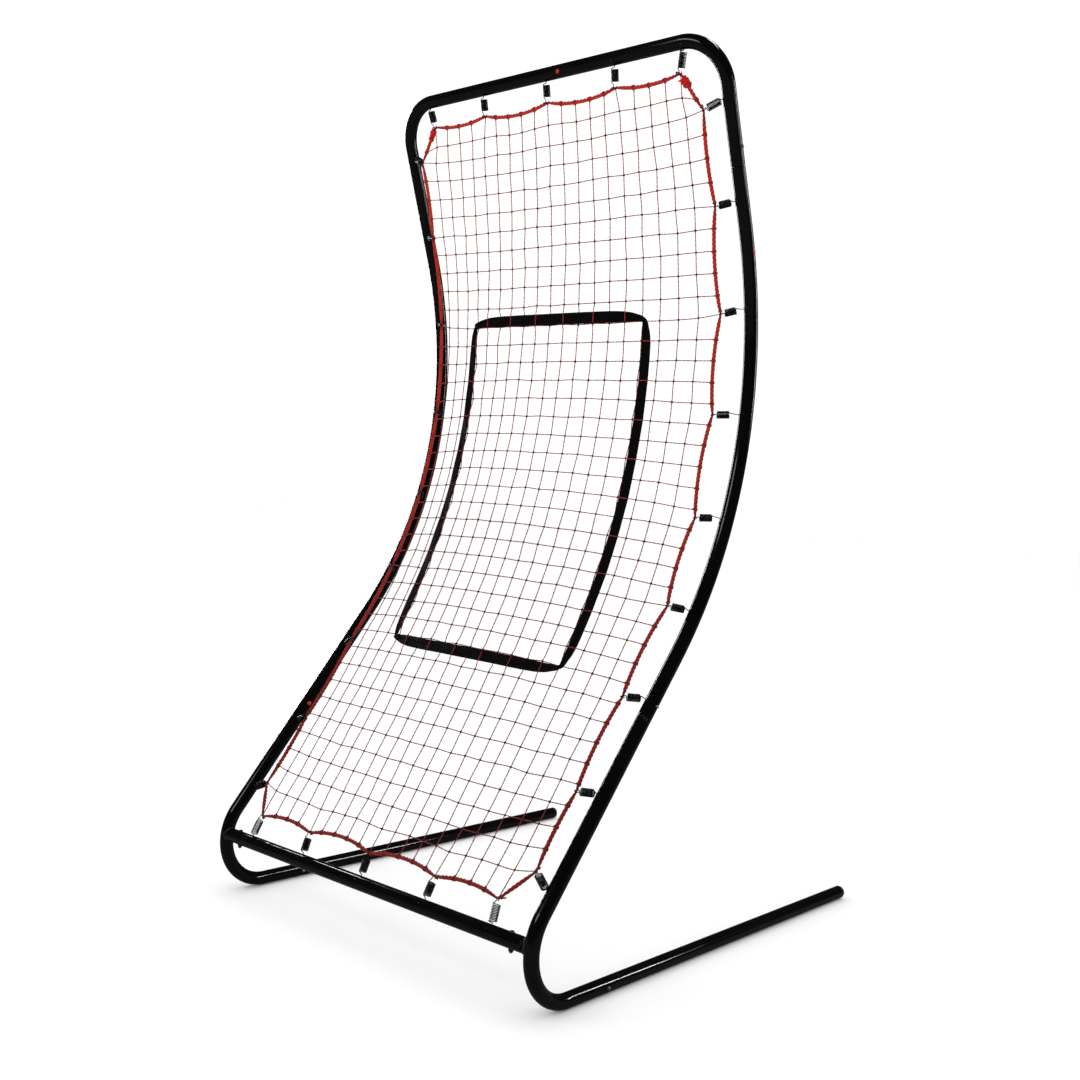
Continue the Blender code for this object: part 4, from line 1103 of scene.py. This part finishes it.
def weave(i, j):
    """How far a cord at cell (i, j) stands off the sheet, towards the thrower, where it passes the webbing."""
    i, j = np.asarray(i, float), np.asarray(j, float)

    def strip(x, at):
        return window(x, at - 0.50, at + 0.50, 0.26)

    in_i, in_j = window(i, ZONE_I[0] + 0.2, ZONE_I[1] - 0.2, 0.5), window(j, ZONE_J[0] + 0.2, ZONE_J[1] - 0.2, 0.5)
    across_side = (strip(i, ZONE_I[0]) + strip(i, ZONE_I[1])) * in_j * np.cos(math.pi * j)
    across_flat = (strip(j, ZONE_J[0]) + strip(j, ZONE_J[1])) * in_i * np.cos(math.pi * i)
    return -0.0021 * (across_side + across_flat)


rng = np.random.default_rng(11)
jitter = {}
for i in range(1, COLS):
    for j in range(1, ROWS):
        jitter[(i, j)] = rng.normal(0, 0.00055, 3)


def tied(i, j):
    p = knot_at(i, j)
    return p + jitter[(i, j)] if (i, j) in jitter else p


# ---------------------------------------------------------------- border rope, three strands laid together
rope_points = np.array([NODES[k] for k in rope_ids])
is_hook = np.array([t[0] == "hook" for t in loop])
at_hook = np.flatnonzero(is_hook)
runs = []
for a, b in zip(at_hook, np.roll(at_hook, -1)):      # smooth between the hooks, sharp where a hook pulls
    ids_run = (a + np.arange((b - a) % len(loop) + 1)) % len(loop)
    runs.append(smooth_line(rope_points[ids_run], 10)[:-1])
line, _ = even_line(np.concatenate(runs), 0.0022, closed=True)
line = (np.roll(line, 1, axis=0) + 2 * line + np.roll(line, -1, axis=0)) / 4
hooks = rope_points[is_hook]
T, U, W = transport(line, closed=True, ref=(0, -1, 0.2))
pinch = np.zeros(len(line))
corner_hooks = [end_hook(END_HOOK_X[k], top) for k in (0, 4) for top in (False, True)] + [side_hook(sign, k) for k in (0, 8) for sign in (-1, 1)]
for h in hooks:                                   # pulled thin at every hook, and further along at the corners
    reach = 0.021 if min(np.linalg.norm(h - q) for q in corner_hooks) < 0.001 else 0.012
    pinch = np.maximum(pinch, np.exp(-(np.linalg.norm(line - h, axis=1) / reach) ** 2))
thick = ROPE_R * (1.04 - 0.46 * pinch)
L = line_length(np.concatenate((line, line[:1])))
total_len, L = L[-1], L[:-1]
turns = round(total_len / 0.026)
phase = 2 * math.pi * turns * L / total_len
P = Parts()
# the rope is darker close to each hook and in a few random spots
rope_darkening = np.clip(pinch * 0.95 + 0.12 * (rng.normal(0, 1, len(line)) > 1.5), 0, 1)
for strand in range(3):
    a = phase + 2 * math.pi * strand / 3
    off = thick * 0.535
    C = line + (off * np.cos(a))[:, None] * U + (off * np.sin(a))[:, None] * W
    V, F, UV = sweep(C, thick * 0.475, 10, closed=True, ref=(0, -1, 0.2))
    P.add(V, F, UV, dark=np.repeat(rope_darkening, 10))
rope = P.make("border_rope_laid", ROPE, 80)
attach(rope, "net_border")
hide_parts("border_rope")


def rope_near(p):
    k = int(np.argmin(np.linalg.norm(line - p, axis=1)))
    return line[k], T[k], U[k], W[k], thick[k]


# ---------------------------------------------------------------- cords, knots and their ties on the rope
STEPS = 14
CORD_R = 0.00108
P = Parts()
weights = []


def cord(cells):
    pts = np.array([tied(*c) for c in cells])
    C = smooth_line(pts, STEPS)
    ii = np.interp(np.arange(len(C)) / STEPS, np.arange(len(cells)), [c[0] for c in cells])
    jj = np.interp(np.arange(len(C)) / STEPS, np.arange(len(cells)), [c[1] for c in cells])
    normals = np.array([sheet_normal(*c) for c in cells])
    normals = np.stack([np.interp(np.arange(len(C)) / STEPS, np.arange(len(cells)), normals[:, k]) for k in range(3)], 1)
    C = C + weave(ii, jj)[:, None] * normals
    Lc = line_length(C)
    spin = 2 * math.pi * Lc / 0.017 + rng.uniform(0, 6.28)
    V, F, UV = sweep(C, CORD_R * (1 + 0.06 * np.sin(Lc * 310 + rng.uniform(0, 6))), 7, spin=spin, ply=0.16)
    near_knot = np.abs((np.arange(len(C)) / STEPS + 0.5) % 1 - 0.5) < 0.10
    P.add(V, F, UV, dark=np.repeat(np.where(near_knot, 0.9, 0.0), 7))
    weights.append(np.repeat(give(ii, jj), 7))


for j in range(1, ROWS):
    cord([(i, j) for i in range(0, COLS + 1) if (i, j) in ids])
for i in range(1, COLS):
    cord([(i, j) for j in range(0, ROWS + 1) if (i, j) in ids])
cords = P.make("net_cords", CORD, 80)
dish(cords, np.concatenate(weights))
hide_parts("net_mesh")

# a knot where each pair of cords crosses: a small closed trefoil of the same twine
KN = 30
tt = 2 * math.pi * np.arange(KN) / KN
tref = np.stack((np.sin(tt) + 2 * np.sin(2 * tt), np.cos(tt) - 2 * np.cos(2 * tt), -np.sin(3 * tt)), 1) / 3.0
P = Parts()
weights = []
for i in range(1, COLS):
    for j in range(1, ROWS):
        n = sheet_normal(i, j)
        c = tied(i, j) + float(weave(i, j)) * n
        e1 = unit(sheet(min(i + 0.5, COLS - 1), j) - sheet(max(i - 0.5, 1), j))
        e2 = unit(np.cross(n, e1))
        a = rng.uniform(0, 6.28)
        e1, e2 = e1 * math.cos(a) + e2 * math.sin(a), e2 * math.cos(a) - e1 * math.sin(a)
        size = 0.00185 * rng.uniform(0.9, 1.12)
        C = c + size * (tref[:, :1] * e1 * 1.05 + tref[:, 1:2] * e2 * 0.95 + tref[:, 2:] * n * 1.35)
        V, F, UV = sweep(C, 0.00092, 6, closed=True)
        P.add(V, F, UV, dark=rng.uniform(0.0, 0.7))
        weights.append(np.full(len(V), float(give(i, j))))
knots = P.make("net_knots", KNOT, 80)
dish(knots, np.concatenate(weights))

# each cord's end is wound round the rope and knotted
P = Parts()
ends = [k for k in ids if len(k) == 2 and (k[0] in (0, COLS) or k[1] in (0, ROWS))]
for i, j in ends:
    c = knot_at(i, j)
    p, t, u, w, r = rope_near(c)
    if np.min(np.linalg.norm(hooks - p, axis=1)) < 0.006:
        p = p + t * 0.007
    a = np.linspace(0, 2 * math.pi * 2.3, 40)
    rr = r * 0.96 + 0.0004
    C = p + (np.linspace(-0.0022, 0.0022, 40))[:, None] * t + (rr * np.cos(a))[:, None] * u + (rr * np.sin(a))[:, None] * w
    V, F, UV = sweep(C, 0.0009, 6)
    P.add(V, F, UV, dark=0.1)
    inner = sheet(min(max(i, 1), COLS - 1), min(max(j, 1), ROWS - 1))
    d = unit(inner - p)
    n = unit(np.cross(t, d))
    size = 0.0012
    C = p + d * (r + 0.0016) + size * (tref[:, :1] * t + tref[:, 1:2] * n + tref[:, 2:] * d)
    V, F, UV = sweep(C, 0.0008, 6, closed=True)
    P.add(V, F, UV, dark=0.2)
ties = P.make("net_ties", TIE, 80)
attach(ties, "net_border")

# ---------------------------------------------------------------- strike zone webbing
I0, I1, J0, J1 = ZONE_I[0], ZONE_I[1], ZONE_J[0], ZONE_J[1]
corner_cells = [(I0, J0), (I1, J0), (I1, J1), (I0, J1)]
centre_cell = ((I0 + I1) / 2, (J0 + J1) / 2)
ACROSS = np.concatenate(([-1.0, -0.985], np.linspace(-0.94, 0.94, 11), [0.985, 1.0]))
THICK = np.concatenate(([0.0, 0.6], np.ones(11), [0.6, 0.0]))
WAVE = 0.0003
LEAN_LEFT, LEAN_RIGHT = 0.06, 0.06


def inner_corner(c):
    """The corner of the webbing's inner edge nearest to cell corner c."""
    i, j = c
    n = sheet_normal(i, j)
    e1 = unit(sheet(i + 0.3, j) - sheet(i - 0.3, j))
    e2 = unit(sheet(i, j + 0.3) - sheet(i, j - 0.3))
    return sheet(i, j) - (e1 * math.copysign(1, i - centre_cell[0]) + e2 * math.copysign(1, j - centre_cell[1])) * WEB_W / 2


rings, ring_u, ring_v, ring_w, v_at = [], [], [], [], 0.0
for k in range(4):
    a, b = corner_cells[k], corner_cells[(k + 1) % 4]
    ka, kb = inner_corner(a), inner_corner(b)
    flat = k in (0, 2)                      # the top and bottom runs taper slowly; the side runs tuck behind them
    gather = 0.024 if flat else 0.020
    length = np.linalg.norm(sheet(*b) - sheet(*a)) - WEB_W
    count = int(length / 0.0028)
    for q in range(count):
        t = (q + 0.5) / count
        span = np.linalg.norm(sheet(*b) - sheet(*a))
        f = (WEB_W / 2 + t * length) / span
        i, j = a[0] + (b[0] - a[0]) * f, a[1] + (b[1] - a[1]) * f
        n = sheet_normal(i, j)
        along = unit(sheet(i + 0.3 * np.sign(b[0] - a[0]), j + 0.3 * np.sign(b[1] - a[1])) - sheet(i - 0.3 * np.sign(b[0] - a[0]), j - 0.3 * np.sign(b[1] - a[1])))
        out = np.cross(along, n)
        out_sign = np.sign(out @ (sheet(i, j) - sheet(*centre_cell)))
        out = out * out_sign
        lead = sheet(i, j) - out * WEB_W / 2
        d = min(t, 1 - t) * length
        near_a = t < 0.5
        g = 1 - math.exp(-d / gather)
        width = WEB_CORNER_W + ((WEB_W if flat else 0.022) - WEB_CORNER_W) * g
        tilt = 1 - float(smoothstep(d / 0.011))
        way = unit(out + (-along if near_a else along) * tilt)
        if not flat:                        # pulled by the cords, both side runs lean a little, their outer edges towards the thrower
            way = unit(way + n * (LEAN_LEFT if k == 3 else LEAN_RIGHT) * g)
        # the strip passes in front of one cord and behind the next, and lies flat against the sheet at the corners
        cell = (i if flat else j)
        lift = WAVE * math.cos(math.pi * cell) * float(smoothstep(d / 0.020)) + (0.0022 if flat else -0.0004) * (1 - float(smoothstep(d / 0.020)))
        tuck = (1 - g) * 0.0016
        base = lead + n * lift
        up_side, low_side = [], []
        for u, h in zip(ACROSS, THICK):
            s = (u + 1) / 2 * width
            fold = tuck * math.sin(2 * math.pi * 1.4 * (u + 1) / 2 + 0.4 * math.sin(d * 300)) + 0.00035 * math.sin(v_at * 41 + u * 1.7)
            p = base + way * s + n * fold
            up_side.append(p + n * (h * WEB_T / 2))
            low_side.append(p - n * (h * WEB_T / 2))
        rings.append(up_side + low_side[-2:0:-1])
        ring_v.append(v_at)
        ring_w.append(float(give(i, j)))
        v_at += length / count
    v_at += 0.010
R = np.array(rings)
m, n_ring = R.shape[:2]
U_ring = np.concatenate((ACROSS, ACROSS[-2:0:-1])) * WEB_W / 2
F, UV = [], []
for q in range(m):
    r = (q + 1) % m
    for k in range(n_ring):
        l = (k + 1) % n_ring
        F.append((q * n_ring + k, q * n_ring + l, r * n_ring + l, r * n_ring + k))
        vq, vr = ring_v[q], ring_v[r] if r else v_at
        UV += [(U_ring[k], vq), (U_ring[l], vq), (U_ring[l], vr), (U_ring[k], vr)]
web = build("strike_zone_webbing_woven", R.reshape(-1, 3), F, WEBBING, np.array(UV), None, 50)
dish(web, np.repeat(ring_w, n_ring))
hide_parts("strike_zone_webbing")


# ---------------------------------------------------------------- springs
WIRE_R, COIL_R = 0.00095, 0.0069


def spring_piece(name, c, h):
    """Hook in the tube wall, straight leg, close coil, leg, and a hook closed round the rope."""
    L = float(np.linalg.norm(h - c))
    w = unit(h - c)
    _, t, _, _, rope_r = rope_near(h)
    n = unit(np.cross(w, t))
    if n[1] > 0:
        n = -n                                   # n points to the thrower's side
    side_v = np.cross(w, n)
    top, foot = name.startswith("spring_top"), name.startswith("spring_bottom")
    number = int(name.split("_")[-1])
    room = L - 0.0090 - TUBE_R
    open_coil = name in ("spring_top_5", "spring_right_9", "spring_right_1", "spring_bottom_5", "spring_bottom_1")
    if open_coil:
        body, coil_turns = min(0.0300, room - 0.0060), 11   # these corner springs carry the most and stand open
    elif top or foot:
        body, coil_turns = 0.0235, 12
    else:
        body, coil_turns = (0.0228 if number > 6 else 0.0250), 12
    body = min(body, room - 0.0050)
    # the side springs hang close to the rope on a long leg, the others sit in the middle
    hi = L - 0.0085 if not (top or foot) else (TUBE_R + L - 0.0064) / 2 + 0.001 + body / 2
    lo = hi - body
    hook_r = 0.0042
    far = L - 0.0004                             # the hook's own centre
    leg_dir = -X + 0.6 * n if top or foot else side_v + 0.5 * n
    leg_u = unit(leg_dir - w * (leg_dir @ w))    # the legs leave the coil on this side
    lead = COIL_R if top or foot else COIL_R * 0.55
    pts, rub = [], []

    def put(d, off, r=0.0):
        pts.append(c + w * d + off)
        rub.append(r)

    # the end inside the tube turns and comes out again through the small hole
    e = exit_way(name)
    e_mid = unit(w + e)
    for at, r in ((c + e * (TUBE_R + 0.0016), 1.0), (c + e * (TUBE_R + 0.0004), 0.9), (c + e * (TUBE_R - 0.0026), 0.0), (c + e_mid * (TUBE_R - 0.0058), 0.0), (c + w * (TUBE_R - 0.0034), 0.0)):
        pts.append(at)
        rub.append(r)
    put(TUBE_R - WALL + 0.0008, 0 * w, 0.3)
    put(TUBE_R + 0.0022, 0 * w, 0.6)
    gap = lo - TUBE_R
    put(TUBE_R + gap * 0.55, leg_u * lead * 0.45)
    put(lo - 0.0014, leg_u * lead * 0.97)
    N = 22
    a0 = math.atan2(leg_u @ side_v, leg_u @ n)
    start_angle = a0 + 0.15
    end_at = a0 if top or foot else 0.0
    sweep_angle = 2 * math.pi * round(coil_turns - (end_at - start_angle) / (2 * math.pi)) + (end_at - start_angle)
    total = int(sweep_angle / (2 * math.pi) * N)
    for k in range(1, total):
        f = k / total
        a = start_angle + sweep_angle * f
        grow = min(1.0, k / N * 1.8)
        r = COIL_R if top or foot else COIL_R * (0.55 + 0.45 * grow)
        # end turns lie flat against their neighbours
        put(lo + (hi - lo) * f, (n * math.cos(a) + side_v * math.sin(a)) * r, 0.9 if 0.02 < f < 0.98 else 0.3)
    way_out = unit(n * math.cos(end_at) + side_v * math.sin(end_at))
    put(hi + 0.0013, way_out * COIL_R * 0.96, 0.2)
    put(hi + (far - hi) * 0.45, way_out * COIL_R * 0.40 + n * hook_r * 0.55, 0.2)
    for a in np.linspace(0, math.radians(245), 20):
        put(far + hook_r * math.sin(a), n * hook_r * math.cos(a), 0.7)
    line_s = smooth_line(np.array(pts), 2)
    rub_s = np.interp(np.arange(len(line_s)) / 2, np.arange(len(rub)), rub)
    radii = np.full(len(line_s), WIRE_R)
    radii[0] *= 0.6
    radii[-1] *= 0.6
    V, F, UV = sweep(line_s, radii, 8)
    # bright steel only on the side of the wire that faces out of the coil: partly rubbing, partly a painted highlight
    axis_d = (V - c) @ w
    away = np.linalg.norm(V - c - axis_d[:, None] * w, axis=1)
    outer = np.clip((away - COIL_R + 0.0001) / (WIRE_R * 0.8), 0, 1)
    rv = np.repeat(rub_s, 8)
    in_coil = (axis_d > lo) & (axis_d < hi)
    P = Parts()
    # how bright the steel gets: partly rubbing, partly a painted highlight, more on the open corner springs
    worn = 0.32 if open_coil else 0.22
    P.add(V, F, UV, rub=np.where(in_coil, rv * outer * worn, rv * 0.6))
    ob = P.make(name + "_wire", SPRING, 80)
    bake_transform(ob)
    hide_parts(name)
    return ob


for name, c, h in springs:
    spring_piece(name, c, h)


# ---------------------------------------------------------------- corner lashings and the rope's loose tail
def along_rope(start, toward, lo, hi, count):
    """Points and axes on the border rope between lo and hi metres from the point start, going to the point toward."""
    k0 = int(np.argmin(np.linalg.norm(line - start, axis=1)))
    m = len(line)
    step = total_len / m
    ahead = np.linalg.norm(line[(k0 + 12) % m] - toward) < np.linalg.norm(line[(k0 - 12) % m] - toward)
    way = 1 if ahead else -1
    pos = (k0 + way * np.linspace(lo, hi, count) / step) % m
    i0 = np.floor(pos).astype(int) % m
    f = (pos - np.floor(pos))[:, None]
    i1 = (i0 + 1) % m
    return [A[i0] * (1 - f) + A[i1] * f for A in (line, T, U, W)]


for sign, word in ((-1, "left"), (1, "right")):
    hook = end_hook(END_HOOK_X[0 if sign < 0 else 4], True)
    nxt = side_hook(sign, 8)
    P = Parts()
    cord_r = 0.0017 if sign > 0 else 0.0016
    layers = ((0.0105, 0.0335, 6.6, 0.0049), (0.0150, 0.0290, 3.7, 0.0071)) if sign > 0 else ((0.0075, 0.0335, 7.9, 0.0050),)
    for layer, (lo, hi, wraps, rad) in enumerate(layers):
        N = int(wraps * 26)
        C, t, u, w = along_rope(hook, nxt, lo, hi, N)
        if layer:                                # the second layer runs back over the first
            C, t, u, w = C[::-1], t[::-1], u[::-1], w[::-1]
        a = np.linspace(0, 2 * math.pi * wraps, N) + 0.7 * layer
        r = rad + 0.0004 * np.sin(a * 0.37 + sign)
        path = C + (r * np.cos(a))[:, None] * u + (r * np.sin(a))[:, None] * w
        if layer:
            start_p = path[-1]
            out_d = unit(u[-1] * math.cos(a[-1] + 0.9) + w[-1] * math.sin(a[-1] + 0.9))
            extra = [start_p + out_d * x + np.array((0, 0, -0.15 * x)) for x in (0.003, 0.006, 0.009)]
            path = np.concatenate((path, extra))
        V, F, UV = sweep(path, cord_r, 8, spin=np.arange(len(path)) * 0.35, ply=0.10)
        P.add(V, F, UV, dark=0.0)
    # a strand pulled slantwise over the wraps to lock them
    C, t, u, w = along_rope(hook, nxt, 0.0125, 0.0315, 40)
    a = np.linspace(0.4, 2.9, 40) - 1.5 * (sign > 0)
    path = C + 0.0093 * np.cos(a)[:, None] * u + 0.0093 * np.sin(a)[:, None] * w
    fade = np.sin(np.linspace(0, math.pi, 40)) ** 0.5
    over = 0.0031 if sign > 0 else 0.0010
    low = 0.0052 if sign > 0 else 0.0060
    path = C + ((low + over * fade) * np.cos(a))[:, None] * u + ((low + over * fade) * np.sin(a))[:, None] * w
    V, F, UV = sweep(path, cord_r, 8, spin=np.arange(40) * 0.35, ply=0.10)
    P.add(V, F, UV, dark=0.0)
    ob = P.make(f"corner_lashing_{word}_cord", LASHING, 80)
    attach(ob, "net_border")
    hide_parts(f"corner_lashing_{word}")

hook = end_hook(END_HOOK_X[4], False)
tail_line = smooth_line(np.array([hook + np.array(v) for v in ((0.0, -0.0040, 0.002), (0.007, -0.0062, 0.0040), (0.014, -0.0060, 0.0060), (0.023, -0.0050, 0.0085))]), 12)
P = Parts()
La = line_length(tail_line)
for strand in range(3):
    a = 2 * math.pi * (La / 0.020 + strand / 3)
    _, tu, tw = transport(tail_line)
    C = tail_line + (0.0010 * np.cos(a))[:, None] * tu + (0.0010 * np.sin(a))[:, None] * tw
    rad = 0.0010 * (1 - 0.35 * smoothstep(La / La[-1]))
    V, F, UV = sweep(C, rad, 8)
    P.add(V, F, UV, dark=np.repeat(0.5 + 0.5 * smoothstep((La / La[-1] - 0.35) / 0.3), 8))
tail = P.make("border_rope_tail", ROPE, 80)
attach(tail, "net_border")


# ---------------------------------------------------------------- floor, light and camera
def floor_material():
    m, nt, b = new_material("pale_floor", (0.86, 0.86, 0.86), 0.9)
    co = obj_coord(nt)
    n = noise_of(nt, co, 3.0, 4.0, 0.6)
    c = ramp(nt, n, ((0.3, (0.955, 0.955, 0.955)), (0.7, (0.975, 0.975, 0.975))))
    # the glossy tubes see the floor dimmed, so that they keep their black
    lp = nt.nodes.new("ShaderNodeLightPath")
    seen = blend_colour(nt, maths(nt, "MULTIPLY", lp.outputs["Is Glossy Ray"], 0.9), c.outputs[0], (0.02, 0.02, 0.02))
    nt.links.new(seen, b.inputs["Base Color"])
    b.inputs["Specular IOR Level"].default_value = 0.1
    return m


me = bpy.data.meshes.new("pale_floor")
F_SIZE = 60.0
me.from_pydata([(-F_SIZE, -F_SIZE, -0.0005), (F_SIZE, -F_SIZE, -0.0005), (F_SIZE, F_SIZE, -0.0005), (-F_SIZE, F_SIZE, -0.0005)], [], [(0, 1, 2, 3)])
me.materials.append(floor_material())
floor = bpy.data.objects.new("pale_floor", me)
bpy.context.scene.collection.objects.link(floor)

world = bpy.data.worlds.new("pale_room")
bpy.context.scene.world = world
world.use_nodes = True
nt = world.node_tree
bg = nt.nodes["Background"]
lp = nt.nodes.new("ShaderNodeLightPath")
strength = maths(nt, "SUBTRACT", 1.09, maths(nt, "MULTIPLY", lp.outputs["Is Glossy Ray"], 1.06))
bg.inputs["Color"].default_value = (1.0, 1.0, 1.0, 1)
nt.links.new(strength, bg.inputs["Strength"])


def area_light(name, at, look, size, size_y, watts, rim=True):
    """A soft box; a rim light only draws streaks on glossy things and leaves the floor alone."""
    data = bpy.data.lights.new(name, "AREA")
    data.shape, data.size, data.size_y, data.energy = "RECTANGLE", size, size_y, watts
    ob = bpy.data.objects.new(name, data)
    bpy.context.scene.collection.objects.link(ob)
    ob.location = at
    ob.rotation_euler = (Vector(look) - Vector(at)).to_track_quat("-Z", "Y").to_euler()
    ob.visible_diffuse = not rim
    ob.visible_camera = False


area_light("soft_right", (2.42, 2.7, 2.2), (0, 0, 1.2), 0.11, 1.8, 36)
area_light("soft_side", (3.4, 1.3, 2.4), (0, 0, 1.3), 0.10, 1.2, 7)
area_light("soft_left", (-3.3, 0.5, 1.7), (0, 0, 1.0), 0.3, 2.6, 60)
area_light("soft_top", (0.6, 0.9, 4.0), (0, 0, 0.3), 1.6, 0.18, 20)
area_light("soft_front", (-1.2, -3.4, 3.0), (0, 0, 0.9), 1.4, 1.0, 22, rim=False)


def camera_axes():
    """Rows: right, down and forward directions of the camera."""
    start, target = np.array((1.6, -3.0, 1.3)), np.array((0.0, 0.2, 0.85))
    f = unit(target - start)
    r = unit(np.cross(f, (0, 0, 1)))
    u = np.cross(r, f)
    base = np.array((r, -u, f))
    k = np.array((-0.1007, 0.2575, 0.0795))
    th = np.linalg.norm(k)
    x, y, z = k / th
    K = np.array(((0, -z, y), (z, 0, -x), (-y, x, 0)))
    return (np.eye(3) + math.sin(th) * K + (1 - math.cos(th)) * K @ K) @ base


ax = camera_axes()
cam_data = bpy.data.cameras.new("photo_angle")
cam_data.lens, cam_data.sensor_width, cam_data.sensor_fit = 41.91, 36.0, "HORIZONTAL"
cam_data.clip_start, cam_data.clip_end = 0.05, 200.0
cam = bpy.data.objects.new("photo_angle", cam_data)
bpy.context.scene.collection.objects.link(cam)
rot = np.array((ax[0], -ax[1], -ax[2])).T
mat = Matrix([list(rot[k]) + [v] for k, v in enumerate((1.8049, -2.1170, 0.8800))] + [[0, 0, 0, 1]])
cam.matrix_world = mat
bpy.context.scene.camera = cam
bpy.context.scene.view_settings.view_transform = "Standard"

bpy.context.view_layer.update()
